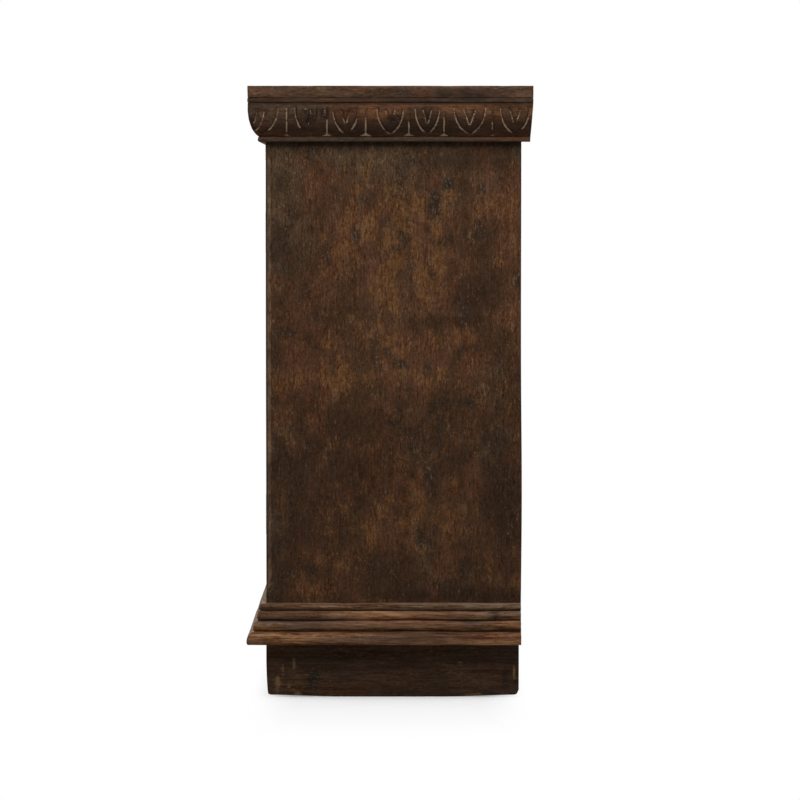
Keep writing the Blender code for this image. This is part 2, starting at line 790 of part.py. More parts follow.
def knob(name, x, spindle):
    """A turned iron knob on a spindle that runs back into the door. It stands along -Y."""
    neck = KNOB_FLANGE + KNOB_STANDOFF
    head = (KNOB_PROJECTION + neck + KNOB_NECK_RADIUS) / 2
    crown = arc((0.0, head), (KNOB_RADIUS, KNOB_PROJECTION - head), 90, 0, ARC_STEPS)
    under = arc((KNOB_RADIUS, neck), (KNOB_NECK_RADIUS - KNOB_RADIUS, head - neck), 90, 0, BEAD_STEPS)
    profile = crown + under[1:] + [
        (KNOB_FLANGE_RADIUS, neck),
        (KNOB_FLANGE_RADIUS, KNOB_STANDOFF),
        (SPINDLE_RADIUS, KNOB_STANDOFF),
        (SPINDLE_RADIUS, -spindle),
        (0.0, -spindle),
    ]
    shape = bmesh.new()
    points = [shape.verts.new((radius, 0.0, height)) for radius, height in profile]
    for first, second in zip(points, points[1:]):
        shape.edges.new((first, second))
    mesh = bpy.data.meshes.new(name)
    shape.to_mesh(mesh)
    shape.free()
    item = new_object(name, mesh, PARTS, IRON)
    turn = item.modifiers.new("turning", "SCREW")
    turn.steps = ROUND_SIDES
    turn.render_steps = ROUND_SIDES
    turn.use_merge_vertices = True
    turn.merge_threshold = FIT_GAP / 10
    turn.use_smooth_shade = True
    item.location = (x, DOOR_FRONT, KNOB_Z)
    item.rotation_euler = (math.radians(90), 0.0, 0.0)
    return item


def spindle_hole(name, x, depth):
    radius = SPINDLE_RADIUS + SPINDLE_PLAY
    return rod(name, radius, (x, DOOR_FRONT - KNOB_FLANGE, KNOB_Z), (x, DOOR_FRONT + depth, KNOB_Z))


def latch(door_axis, meeting_stile):
    """The right-hand knob and the tongue that it turns behind the left-hand door. Pointing down is open."""
    tongue_front = DOOR_BACK + TONGUE_CLEARANCE
    tongue_back = tongue_front + TONGUE_THICKNESS
    turning_knob = knob("latch_knob", KNOB_X, tongue_back + SPINDLE_TAIL - DOOR_FRONT)
    hole = spindle_hole("latch_spindle_hole", KNOB_X, DOOR_THICKNESS + KNOB_FLANGE)
    cut(meeting_stile, hole)
    carry(door_axis, [hole])
    radius = TONGUE_WIDTH / 2
    drop = KNOB_X + DOOR_INNER + TONGUE_REACH - radius
    outline = arc((0, 0), (radius, radius), 0, 180, ARC_STEPS)
    outline += arc((0, -drop), (radius, radius), 180, 360, ARC_STEPS)
    bore = SPINDLE_RADIUS + SPINDLE_PLAY
    hole_outline = arc((0, 0), (bore, bore), 0, 360, ROUND_SIDES)[:-1]
    shape = outline_mesh("latch_tongue", [outline, hole_outline], TONGUE_THICKNESS)
    tongue = new_object("latch_tongue", finished_mesh(shape, "latch_tongue"), PARTS, IRON)
    tongue.location = (KNOB_X, (tongue_front + tongue_back) / 2, KNOB_Z)
    tongue.rotation_euler = (math.radians(90), 0.0, 0.0)
    axis = axis_empty("latch_axis", (KNOB_X, DOOR_FRONT, KNOB_Z), door_axis)
    carry(axis, [turning_knob, tongue])


def fixed_knob(door_axis, meeting_stile):
    """The left-hand knob only pulls, so its spindle ends inside the stile."""
    item = knob("fixed_knob", -KNOB_X, DUMMY_SPINDLE)
    hole = spindle_hole("fixed_spindle_hole", -KNOB_X, DUMMY_SPINDLE + FIT_GAP)
    cut(meeting_stile, hole)
    carry(door_axis, [item, hole])


def sliding_bolt(door_axis):
    """A rod in two guides behind the left-hand door. It shoots up behind the head rail of the frame."""
    x = -KNOB_X
    head = DOOR_HEAD_EDGE - BOLT_DROP
    foot = head - BOLT_PLATE_LENGTH
    plate_front = DOOR_BACK + FIT_GAP
    plate_back = plate_front + BOLT_PLATE
    axis_y = DOOR_BACK + BOLT_STANDOFF
    half = BOLT_PLATE_WIDTH / 2
    plate = block("bolt_plate", (x - half, plate_front, foot), (x + half, plate_back, head), PARTS, IRON)
    hole = rod(
        "bolt_hole",
        BOLT_ROD_RADIUS + BOLT_ROD_PLAY,
        (x, axis_y, foot - BOLT_GUIDE),
        (x, axis_y, head + BOLT_GUIDE),
    )
    side = BOLT_ROD_RADIUS + BOLT_ROD_PLAY + BOLT_GUIDE_WALL
    for name, z in {"upper": head - BOLT_GUIDE, "lower": foot}.items():
        guide = block(
            f"bolt_{name}_guide",
            (x - side, plate_front + BOLT_PLATE / 2, z),
            (x + side, axis_y + side, z + BOLT_GUIDE),
        )
        join(plate, guide)
        carry(door_axis, [guide])
    cut(plate, hole)
    carry(door_axis, [plate, hole])
    bolt = rod("bolt_rod", BOLT_ROD_RADIUS, (x, axis_y, foot - BOLT_TAIL), (x, axis_y, head), PARTS, IRON)
    thumb_z = foot + BOLT_GUIDE + BOLT_THUMB_LIFT
    thumb = rod("bolt_thumb", BOLT_THUMB_RADIUS, (x, axis_y, thumb_z), (x, axis_y + BOLT_THUMB, thumb_z))
    join(bolt, thumb)
    axis = axis_empty("bolt_axis", (x, axis_y, head), door_axis)
    carry(axis, [bolt, thumb])


def doors(frame_stiles):
    for side, side_name in SIDE_NAMES.items():
        name = f"door_{side_name}"
        axis = axis_empty(f"{name}_axis", (side * PIN_X, PIN_Y, KNOB_Z))
        pieces, stiles, cutters = door_frame(side, name)
        moving = hinges(side, name, frame_stiles[side], stiles["hinge_stile"])
        carry(axis, pieces + cutters + moving)
        if side == RIGHT:
            latch(axis, stiles["meeting_stile"])
        else:
            fixed_knob(axis, stiles["meeting_stile"])
            sliding_bolt(axis)


def main():
    plinth()
    base_moulding()
    plank_ends(carcase_floor())
    shelf()
    boarded_back()
    top_and_cornice()
    doors(front_frame())


main()
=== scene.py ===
# %% [markdown]
# # A carved side cabinet
# We dress the plain solids of an old side cabinet as dark-stained, much-handled hardwood. The solids give
# the places and sizes. Most of them could simply be given a material, but old wood is never quite flat or
# sharp, so we rebuild each visible board and moulding with softened edges, and carve the cornice.

# %% Load the frame
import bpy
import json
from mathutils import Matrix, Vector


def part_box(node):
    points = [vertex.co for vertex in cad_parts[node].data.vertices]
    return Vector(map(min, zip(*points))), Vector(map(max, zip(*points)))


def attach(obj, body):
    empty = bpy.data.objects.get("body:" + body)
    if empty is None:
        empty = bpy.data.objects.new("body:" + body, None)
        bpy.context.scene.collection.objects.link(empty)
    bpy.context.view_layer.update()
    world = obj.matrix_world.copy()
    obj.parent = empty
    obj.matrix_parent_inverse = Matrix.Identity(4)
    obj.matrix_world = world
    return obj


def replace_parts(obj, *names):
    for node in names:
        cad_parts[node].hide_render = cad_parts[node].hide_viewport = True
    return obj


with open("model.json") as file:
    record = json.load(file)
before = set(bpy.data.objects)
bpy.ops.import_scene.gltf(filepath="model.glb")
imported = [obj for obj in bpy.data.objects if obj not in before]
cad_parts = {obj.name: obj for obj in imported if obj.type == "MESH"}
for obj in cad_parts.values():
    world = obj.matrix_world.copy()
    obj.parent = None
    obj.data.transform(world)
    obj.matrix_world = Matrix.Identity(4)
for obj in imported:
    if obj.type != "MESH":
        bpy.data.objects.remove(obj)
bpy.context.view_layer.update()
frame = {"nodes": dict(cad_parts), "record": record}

import json
import math
from collections import namedtuple

import bmesh
import bpy
from mathutils import Vector, noise

UP = Vector((0.0, 0.0, 1.0))
RECORD = frame["record"]
SLOT_OF = {part["node"]: part["material_slot"] for part in RECORD["subparts"]}
BODY_OF = {node: body for body, nodes in RECORD["behaviour"]["bodies"].items() for node in nodes}

# %% [markdown]
# ## The camera
# The picture looks squarely at one end of the cabinet, so the camera stands on the end's side and looks
# along -X. A parallel camera would do for the end itself, but the front mouldings run away behind it and
# show their slope only in perspective. A long lens from far off gives that slope and keeps the end
# square. It stands a little below the top and looks slightly down.

# %% Camera
CAMERA_PLACE = (5.95, 0.01555, 0.7218)
CAMERA_DIP = 2.903
CAMERA_LENS = 167.07
CAMERA_SENSOR = 36.0
camera = bpy.data.objects.new("camera", bpy.data.cameras.new("camera"))
camera.location = CAMERA_PLACE
camera.rotation_euler = (math.radians(90 - CAMERA_DIP), 0.0, math.radians(90))
camera.data.lens = CAMERA_LENS
camera.data.sensor_width = CAMERA_SENSOR
bpy.context.scene.collection.objects.link(camera)
bpy.context.scene.camera = camera
print("camera at", CAMERA_PLACE)

# %% [markdown]
# ## Shader maths
# Material nodes can be wired one by one, but a wood recipe has dozens of them. A small class that stands
# for one socket lets us write the recipe as arithmetic instead, and each operation adds its node.

# %% Shader maths
class Wire:
    """One socket in a node tree. Arithmetic on it adds Math nodes."""

    def __init__(self, tree, socket=None):
        self.tree = tree
        self.socket = socket

    def feed(self, node, inputs):
        """Links or sets the inputs of a node."""
        for name, value in inputs.items():
            if isinstance(value, Wire):
                self.tree.links.new(value.socket, node.inputs[name])
            else:
                node.inputs[name].default_value = value

    def node(self, kind, settings=None, inputs=None, output=0):
        """Adds any node: its settings first, then its inputs. Returns one of its outputs."""
        made = self.tree.nodes.new(kind)
        for name, value in (settings or {}).items():
            setattr(made, name, value)
        self.feed(made, inputs or {})
        return Wire(self.tree, made.outputs[output])

    def math(self, operation, first, second):
        return self.node("ShaderNodeMath", {"operation": operation}, {0: first, 1: second})

    def __add__(self, other):
        return self.math("ADD", self, other)

    def __sub__(self, other):
        return self.math("SUBTRACT", self, other)

    def __rsub__(self, other):
        return self.math("SUBTRACT", other, self)

    def __mul__(self, other):
        return self.math("MULTIPLY", self, other)

    __radd__ = __add__
    __rmul__ = __mul__

    def top(self, other):
        return self.math("MAXIMUM", self, other)

    def step(self, low, high):
        """Rises smoothly from 0 to 1 between two values."""
        inputs = {"Value": self, "From Min": low, "From Max": high}
        return self.node("ShaderNodeMapRange", {"interpolation_type": "SMOOTHSTEP"}, inputs)

    def vector(self, operation, other):
        return self.node("ShaderNodeVectorMath", {"operation": operation}, {0: self, 1: other})

    def scaled(self, vector, amount):
        return self.node("ShaderNodeVectorMath", {"operation": "SCALE"}, {0: vector, "Scale": amount})

    def lit(self, amount):
        """A colour made brighter or darker."""
        return self.scaled(self, amount)

    def noise(self, scale, detail=2.0, roughness=0.5):
        inputs = {"Vector": self, "Scale": scale, "Detail": detail, "Roughness": roughness}
        return self.node("ShaderNodeTexNoise", None, inputs)

    def mix(self, factor, first, second):
        """A colour between two others."""
        inputs = {0: factor, 6: first, 7: second}
        return self.node("ShaderNodeMix", {"data_type": "RGBA"}, inputs, output=2)

    def attribute(self, name):
        return self.node("ShaderNodeAttribute", {"attribute_name": name}, output="Fac")


def new_material(name):
    """A material, its Principled BSDF, and a wire to build from."""
    material = bpy.data.materials.new(name)
    material.use_nodes = True
    tree = material.node_tree
    return material, tree.nodes["Principled BSDF"], Wire(tree)


def tone(red, green, blue):
    """A display colour from 0 to 255 as the linear colour that a shader takes."""
    linear = []
    for value in (red / 255, green / 255, blue / 255):
        linear.append(value / 12.92 if value <= 0.04045 else ((value + 0.055) / 1.055) ** 2.4)
    return (*linear, 1.0)


def grey(value):
    """A grey of the given linear brightness."""
    return (value, value, value, 1.0)


print("mid brown is", [round(value, 3) for value in tone(70, 48, 33)])

# %% [markdown]
# ## The studio
# The cabinet stands on a pale floor in front of nothing, under large soft lights, as a shop would
# photograph it. White all round would be simple, but then the light would come from everywhere and
# flatten the carving. So the camera sees white, while the wood is lit by a grey room and a few soft
# panels. The floor keeps the shadow.

# %% Studio
WHITE = grey(1.0)
ROOM_LIGHT = 0.10
SEEN_BY = ("Camera", "Glossy", "Transmission")
# Aim, size in metres and power in watts of the lights that fill the sides away from the camera
FILL = ((0.0, 0.0, 0.5), (2.0, 1.6), 40.0)
# Place, aim, size and power of every light
LIGHTS = {
    "key": ((2.0, 0.1, 2.6), (0.45, 0.0, 0.60), (1.6, 1.6), 80.0),
    "overhead": ((0.35, 0.0, 2.7), (0.35, 0.0, 0.0), (1.6, 1.6), 30.0),
    "front_fill": ((0.0, -3.0, 1.6), *FILL),
    "back_fill": ((0.0, 3.0, 1.6), *FILL),
    "far_fill": ((-3.2, 0.0, 1.6), *FILL),
}


def seen_rays(wire):
    """1 for rays from the camera, from mirrors and through glass, 0 for the rays that only carry light."""
    camera_ray, glossy_ray, glass_ray = (
        wire.node("ShaderNodeLightPath", output=f"Is {name} Ray") for name in SEEN_BY
    )
    return camera_ray.top(glossy_ray).top(glass_ray)


world = bpy.data.worlds.new("studio")
world.use_nodes = True
bpy.context.scene.world = world
room = Wire(world.node_tree)
room_light = room.node("ShaderNodeBackground", None, {"Color": WHITE, "Strength": ROOM_LIGHT})
backdrop = room.node("ShaderNodeBackground", None, {"Color": WHITE, "Strength": 1.0})
room_mix = room.node("ShaderNodeMixShader", None, {0: seen_rays(room), 1: room_light, 2: backdrop})
room.feed(world.node_tree.nodes["World Output"], {"Surface": room_mix})


def soft_light(name, place, aim, size, power):
    """A large panel of light that the camera doesn't see."""
    panel = bpy.data.lights.new(name, "AREA")
    panel.shape = "RECTANGLE"
    panel.size, panel.size_y = size
    panel.energy = power
    item = bpy.data.objects.new(name, panel)
    item.location = place
    item.rotation_euler = (Vector(aim) - Vector(place)).to_track_quat("-Z", "Y").to_euler()
    item.visible_camera = False
    bpy.context.scene.collection.objects.link(item)
    print(name, "light of", power, "W")


for name, setting in LIGHTS.items():
    soft_light(name, *setting)

# %% [markdown]
# The floor has to look white beside a dark cabinet and still take its shadow. A lit white floor would
# come out grey in the shade of the room, so camera rays see part of its light as a glow, and far from the
# cabinet all of it. Beside the front and back the shadow fades at once, and under and past the two ends
# it shows.

# %% Floor
FLOOR_HALF = 14.0
FLOOR_GLOW = 0.30
FLOOR_SHADE = 0.46
FLOOR_BOUNCE = 0.35
CLEAR_FROM, CLEAR_TO = 0.62, 1.10
BESIDE_FROM, BESIDE_TO = 0.13, 0.21
floor_shape = bmesh.new()
bmesh.ops.create_grid(floor_shape, x_segments=1, y_segments=1, size=FLOOR_HALF)
floor_mesh = bpy.data.meshes.new("floor")
floor_shape.to_mesh(floor_mesh)
floor_shape.free()
floor = bpy.data.objects.new("floor", floor_mesh)
bpy.context.scene.collection.objects.link(floor)
floor_paint, _, pale = new_material("pale_floor")
floor_place = pale.node("ShaderNodeTexCoord", output="Object")
glow = pale.node("ShaderNodeEmission", None, {"Color": WHITE, "Strength": FLOOR_GLOW})
clear = pale.node("ShaderNodeEmission", None, {"Color": WHITE, "Strength": 1.0})
shaded = pale.node("ShaderNodeBsdfDiffuse", None, {"Color": grey(FLOOR_SHADE)})
near = pale.node("ShaderNodeAddShader", None, {0: glow, 1: shaded})
distance = pale.node("ShaderNodeVectorMath", {"operation": "LENGTH"}, {0: floor_place}, output="Value")
beside = pale.node("ShaderNodeSeparateXYZ", None, {0: floor_place}, output="Y")
beside_share = beside.top(0.0 - beside).step(BESIDE_FROM, BESIDE_TO)
far_share = distance.step(CLEAR_FROM, CLEAR_TO).top(beside_share)
by_distance = pale.node("ShaderNodeMixShader", None, {0: far_share, 1: near, 2: clear})
bounce = pale.node("ShaderNodeBsdfDiffuse", None, {"Color": grey(FLOOR_BOUNCE)})
floor_mix = pale.node("ShaderNodeMixShader", None, {0: seen_rays(pale), 1: bounce, 2: by_distance})
pale.feed(floor_paint.node_tree.nodes["Material Output"], {"Surface": floor_mix})
floor_mesh.materials.append(floor_paint)
print("floor half width", FLOOR_HALF, "m")

# %% [markdown]
# ## Old stained wood
# A photograph of a plank would give one board only. Noise stretched along the grain gives any number of
# them: wide clouds of colour, patches, streaks, fibres, short dashes where the stain has worn through,
# and thin dark lines where the polish has crackled. Attributes painted on the vertices say where this
# wood is worn pale, dirty, stained, shaded, warm, dull or limed, and where painted highlights, shadows
# and light lie on it. One more moves the pattern so that no two boards are alike.

# %% Wood recipe
GRAIN_PULL = {"x": (1.0, 0.0, 0.0), "y": (0.0, 1.0, 0.0), "z": (0.0, 0.0, 1.0), "xy": (1.0, 0.85, 0.0)}
# Noises from wide to fine: read far off or not, stretch along the grain, scale, detail and roughness.
# Where no stretch is given, each kind of wood has its own.
NOISES = {
    "cloud": (False, None, 16.0, 3.0, 0.6),
    "haze": (True, None, 11.0, 3.0, 0.6),
    "patch": (False, None, 48.0, 3.0, 0.6),
    "blot": (True, None, 34.0, 4.0, 0.65),
    "streak": (False, 0.03, 150.0, 2.0, 0.5),
    "fibre": (False, 0.08, 400.0, 2.0, 0.55),
    "dash": (True, 0.30, 420.0, 1.0, 0.5),
    "speck": (False, 0.60, 560.0, 1.0, 0.5),
    "vein": (True, None, 190.0, 2.0, 0.5),
}
# Besides wear, dirt and warmth, the wear mark also carries painted highlights, the dirt mark painted shade
# and painted shadows, and the glow mark painted light
MARKS = ("wear_and_highlight", "dirt_and_shade", "stain", "shade", "glow", "wash", "groove", "shift")
CRACKLE_HALF = 0.07
SHIFT_PATH = (3.1, 7.7, 5.3)
FAR_PATH = (11.3, 4.9, 8.1)
# Fine grain changes brightness more than hue, so blue follows it more than red
GRAIN_TINT = (1.0, 1.35, 1.9)
LEAST_LIGHT = 0.2
WOOD_BUMP = {"Strength": 0.30, "Distance": 0.0006}
WOOD_ROUGHNESS = 0.62
WOOD_SHINE = 0.06


def stretched(place, grain, share):
    """Coordinates drawn out along the grain."""
    return place.vector("MULTIPLY", [1.0 - pull * (1.0 - share) for pull in GRAIN_PULL[grain]])


def wood(name, tones, grain, streaky, fine, stretch):
    """Stained wood with its grain along the named axis, in the given tones and figure."""
    material, shader, wire = new_material(name)
    wear_and_highlight_mark, dirt_and_shade_mark, stain_mark, shade_mark, glow_mark, wash_mark, groove_mark, shift_mark = (
        wire.attribute(mark) for mark in MARKS
    )
    shift = wire.scaled(SHIFT_PATH, shift_mark)
    place = wire.node("ShaderNodeTexCoord", output="Object").vector("ADD", shift)
    away = place.vector("ADD", FAR_PATH)
    noises = []
    for far, share, scale, detail, rough in NOISES.values():
        pulled = stretched(away if far else place, grain, share or stretch)
        noises.append(pulled.noise(scale, detail, rough) - 0.5)
    cloud, haze, patch, blot, streak, fibre, dash, speck, vein = noises

    # Stain and old polish
    colour = wire.mix((cloud + 0.3 * dash - 0.06 * wash_mark).step(-0.10, 0.10), tones["body"], tones["red"])
    colour = wire.mix((haze + 0.3 * blot + 0.25 * wash_mark).step(0.00, 0.16) * 0.75, colour, tones["dull"])
    gold = patch + 0.35 * cloud + 0.25 * dash + 0.20 * glow_mark - 0.10 * wash_mark - 0.06 * shade_mark
    gold = gold.step(0.02, 0.20)
    colour = wire.mix(gold * 0.47, colour, tones["gold"])
    dark = (blot + 0.3 * dash + 0.3 * streak + 0.22 * shade_mark).step(0.02, 0.16)
    colour = wire.mix(dark * 0.78, colour, tones["dark"])
    # The shade and glow marks darken and brighten the colour: painted shade and painted light as well as
    # tone
    broad_light = 0.6 * patch + 0.6 * blot + 0.6 * cloud + 0.30 * glow_mark - 0.30 * shade_mark
    colour = colour.lit((1.01 + broad_light - 0.3 * broad_light.top(0.0)).top(LEAST_LIGHT))
    stain = (stain_mark + 0.6 * blot + 0.8 * dash + 0.8 * speck).step(0.30, 0.90)
    colour = wire.mix(stain * 0.75, colour, tones["soot"])
    # Crackled polish: thin dark lines where one noise crosses zero, in some places only
    crackle = 1.0 - vein.top(0.0 - vein).step(0.0, CRACKLE_HALF)
    crackled = (0.7 * haze + 0.7 * blot + 0.15 * stain_mark).step(0.00, 0.14)
    colour = wire.mix(crackle * crackled * 0.7 * fine, colour, tones["black"])
    grain_light = streaky * (1.1 * fibre + 1.1 * streak) + fine * (1.1 * dash + 1.1 * speck)
    glint = wire.scaled(GRAIN_TINT, grain_light).vector("ADD", (1.0,) * 3)
    colour = colour.vector("MULTIPLY", glint.vector("MAXIMUM", (LEAST_LIGHT,) * 3))
    fleck = 0.5 * dash + 0.5 * speck + 0.35 * patch + 0.09 * stain_mark - 0.05 * shade_mark
    colour = wire.mix(fleck.step(0.13, 0.19) * 0.40 * fine, colour, tones["worn"])

    # Wear and painted highlights, dirt and painted shade, and lime
    wear_and_highlight = (wear_and_highlight_mark + 1.2 * patch + 0.8 * dash).step(0.30, 0.95)
    colour = wire.mix(wear_and_highlight * 0.8, colour, tones["worn"])
    dirt_and_shade = (dirt_and_shade_mark * (1.0 + 1.5 * blot)).step(0.05, 0.95)
    colour = wire.mix(dirt_and_shade * 0.9, colour, tones["black"])
    lime = (groove_mark * (1.0 + 1.8 * blot + 2.6 * speck + 1.6 * dash)).step(0.15, 0.95)
    colour = wire.mix(lime * 0.85, colour, tones["lime"])
    colour = colour.lit(1.0 + 0.5 * groove_mark.step(1.2, 1.9))

    height = 0.6 * fibre + 0.6 * dash + 0.4 * streak + 0.5 * speck
    bump = wire.node("ShaderNodeBump", None, {**WOOD_BUMP, "Height": height})
    roughness = WOOD_ROUGHNESS + 0.5 * patch + 0.12 * dirt_and_shade - 0.08 * wear_and_highlight
    wire.feed(shader, {"Base Color": colour, "Roughness": roughness, "Normal": bump})
    shader.inputs["Specular IOR Level"].default_value = WOOD_SHINE
    return material


print("wood is mixed from", len(NOISES), "noises and", len(MARKS), "marks")

# %% [markdown]
# A kind of wood is a set of tones and a figure. The plank has every tone, and the other kinds only name
# those in which they differ from it.

# %% Kinds of wood
PLANK_TONES = {
    "body": (65, 44, 28),
    "red": (73, 47, 31),
    "dull": (67, 53, 38),
    "gold": (92, 62, 32),
    "dark": (48, 32, 20),
    "black": (30, 24, 19),
    "soot": (37, 32, 25),
    "worn": (108, 86, 66),
    "lime": (146, 124, 100),
}
TONES_OF = {
    "dark_plank": {},
    "worn_moulding": {
        "body": (88, 62, 43),
        "red": (97, 65, 44),
        "dull": (80, 65, 51),
        "gold": (116, 81, 47),
        "dark": (60, 43, 31),
        "worn": (126, 102, 81),
    },
    "cornice": {
        "body": (62, 43, 30),
        "red": (72, 46, 31),
        "dull": (63, 50, 39),
        "gold": (92, 60, 36),
        "dark": (42, 28, 18),
        "black": (28, 20, 13),
        "soot": (22, 18, 14),
        "worn": (98, 79, 62),
    },
    "plinth_wood": {
        "body": (53, 38, 27),
        "red": (61, 41, 28),
        "dull": (52, 41, 31),
        "gold": (66, 47, 31),
        "dark": (38, 28, 20),
        "black": (26, 21, 17),
        "soot": (28, 25, 22),
        "worn": (110, 84, 58),
    },
    "top_wood": {
        "body": (69, 50, 37),
        "red": (76, 52, 38),
        "dull": (70, 55, 43),
        "gold": (88, 66, 42),
        "dark": (44, 34, 26),
        "worn": (104, 83, 64),
    },
    "inside_wood": {
        "body": (112, 86, 60),
        "red": (118, 82, 55),
        "dull": (110, 90, 67),
        "gold": (136, 104, 70),
        "dark": (82, 63, 45),
        "black": (50, 41, 33),
        "worn": (150, 120, 88),
    },
}
# How strongly each kind shows long streaks and fine specks, and how far its clouds are drawn out
FIGURE_OF = {
    "dark_plank": (0.6, 1.1, 0.75),
    "worn_moulding": (1.9, 0.45, 0.12),
    "cornice": (0.8, 0.8, 0.35),
    "plinth_wood": (1.2, 0.6, 0.40),
    "top_wood": (1.2, 0.7, 0.25),
    "inside_wood": (1.2, 0.7, 0.25),
}
made_woods = {}


def wood_for(kind, grain):
    """The wood of one kind with its grain one way, made the first time it is asked for."""
    key = f"{kind}_{grain}"
    if key not in made_woods:
        tones = {name: tone(*display) for name, display in {**PLANK_TONES, **TONES_OF[kind]}.items()}
        made_woods[key] = wood(key, tones, grain, *FIGURE_OF[kind])
    return made_woods[key]


print(len(TONES_OF), "kinds of wood")

# %% [markdown]
# The ironwork is blackened: nearly black, with a brown bloom of rust in places and a dull shine.

# %% Iron
IRON_BLACK, IRON_RUST = tone(56, 53, 50), tone(74, 52, 38)
IRON_BUMP = {"Strength": 0.3, "Distance": 0.0003}
iron, iron_shader, iron_wire = new_material("blackened_iron")
iron_place = iron_wire.node("ShaderNodeTexCoord", output="Object")
bloom = iron_place.noise(160.0, 4.0, 0.6)
speckle = iron_place.noise(900.0, 2.0)
rust = (bloom + 0.3 * (speckle - 0.5)).step(0.52, 0.72)
iron_wire.feed(
    iron_shader,
    {
        "Base Color": iron_wire.mix(rust * 0.7, IRON_BLACK, IRON_RUST),
        "Roughness": 0.42 + 0.3 * rust + 0.1 * (speckle - 0.5),
        "Metallic": 0.9 - 0.6 * rust,
        "Normal": iron_wire.node("ShaderNodeBump", None, {**IRON_BUMP, "Height": speckle}),
    },
)
print("iron is made")

# %% [markdown]
# ## A worn board
# Each board starts as a cube of its own size. Rounding its edges is a bevel. To let the faces sink and
# the edges lose small nicks it needs points in between: one cut near each edge keeps the edge crisp, and
# the long stretches between those cuts are subdivided. Every move is inward: wood wears away and doesn't
# grow.

# %% Board tools
EDGE_ROUND = 0.0016
EDGE_REACH = 0.006
BOARD_CELL = 0.014
# Points closer than this are one
MERGE = 1e-6
# An edge longer than this many cells is divided, if nearly all of it runs along the axis
LONG_CELLS, ALONG_SHARE = 1.5, 0.98


def slice_up(shape, axis, places):
    """Cuts a shape across one axis at each place."""
    normal = Vector((0.0, 0.0, 0.0))
    normal[axis] = 1.0
    for place in places:
        geometry = [*shape.verts, *shape.edges, *shape.faces]
        bmesh.ops.bisect_plane(shape, geom=geometry, dist=MERGE, plane_co=normal * place, plane_no=normal)


def divide(shape, axis, cell):
    """Divides the long edges that run along one axis into cells."""
    long_edges = {}
    for edge in shape.edges:
        run = abs(edge.verts[1].co[axis] - edge.verts[0].co[axis])
        if run > LONG_CELLS * cell and run > ALONG_SHARE * edge.calc_length():
            long_edges.setdefault(round(run / cell), []).append(edge)
    for count, edges in long_edges.items():
        bmesh.ops.subdivide_edges(shape, edges=edges, cuts=count - 1, use_grid_fill=True)


def block(low, high):
    """A plain block between two corners."""
    shape = bmesh.new()
    bmesh.ops.create_cube(shape, size=1.0)
    bmesh.ops.scale(shape, vec=high - low, verts=shape.verts)
    bmesh.ops.translate(shape, vec=(low + high) / 2, verts=shape.verts)
    return shape


def round_edges(shape, edges, rounding):
    bmesh.ops.bevel(shape, geom=edges, offset=rounding, segments=2, profile=0.5, affect="EDGES", material=-1)


def rounded_block(low, high, rounding):
    """A block with rounded edges."""
    shape = block(low, high)
    round_edges(shape, shape.edges[:], rounding)
    return shape


def squared(low, high, rounding=EDGE_ROUND, cell=BOARD_CELL):
    """A board between two corners, with rounded edges and points to wear it by."""
    shape = rounded_block(low, high, rounding)
    for axis in range(3):
        margin = min(EDGE_REACH, (high[axis] - low[axis]) / 3)
        slice_up(shape, axis, (low[axis] + margin, high[axis] - margin))
        divide(shape, axis, cell)
    return shape


print("the points of a board are about", BOARD_CELL, "m apart")

# %% [markdown]
# Marks are numbers on the points of a shape, which the wood recipe reads. Wear is two things: a mark that
# pales the edges, and a small move of each point. A finished shape becomes an object that rides on its
# solid's body.

# %% Wear and pieces
# How deep faces sink and nicks go, and the scales of their noise
SINK, SINK_SCALE = 0.0004, 14
NICK, NICK_SCALE = 0.0011, 70
# Noise below this makes no nick
NICK_LEAST = 0.05
BOARD_WEAR, WEAR_SCALE = 0.7, 25
SEEDS, SEED_START = 997, 3
SHIFT_SHARE = 40
# An edge that bends by more degrees than this looks sharp
CREASE = 40


def seed_of(name):
    """A number that stays the same for a name."""
    return sum((place + SEED_START) * ord(letter) for place, letter in enumerate(name)) % SEEDS


def layer(shape, name):
    """The float attribute of that name on a shape's vertices."""
    layers = shape.verts.layers.float
    return layers.get(name) or layers.new(name)


def mark_layers(shape, *names):
    """The attributes of a shape that hold its marks."""
    return {name: layer(shape, name) for name in names}


def paint(vert, layers, marks):
    """Writes marks on a point."""
    for name, value in marks.items():
        vert[layers[name]] = value


def fade(gap, reach):
    """1 at no gap, falling evenly to 0 at a reach."""
    return min(1.0, max(0.0, 1 - gap / reach))


def wander(*place):
    """Smooth noise from -1 to 1."""
    return noise.noise(Vector(place))


def edge_share(place, low, high):
    """1 on an edge of a board's box, falling to 0 a little way from it."""
    gaps = sorted(min(place[axis] - low[axis], high[axis] - place[axis]) for axis in range(3))
    return fade(gaps[1], EDGE_REACH)


def press(shape, depths):
    """Moves every point inward by its own depth."""
    shape.normal_update()
    moves = [vert.normal * depth for vert, depth in zip(shape.verts, depths)]
    for vert, move in zip(shape.verts, moves):
        vert.co -= move


def weather(shape, low, high, seed, wear_and_highlight=BOARD_WEAR):
    """Sinks the faces of a board here and there and knocks nicks out of its edges."""
    bmesh.ops.recalc_face_normals(shape, faces=shape.faces)
    wear_layer = layer(shape, "wear_and_highlight")
    depths = []
    for vert in shape.verts:
        share = edge_share(vert.co, low, high)
        spot = vert.co + Vector((seed, 0.0, 0.0))
        sink = SINK * (0.5 + 0.5 * noise.noise(spot * SINK_SCALE))
        nick = NICK * share * max(0.0, noise.noise(spot * NICK_SCALE) - NICK_LEAST)
        vert[wear_layer] = wear_and_highlight * share * (0.55 + 0.6 * noise.noise(spot * WEAR_SCALE))
        depths.append(sink + nick)
    press(shape, depths)


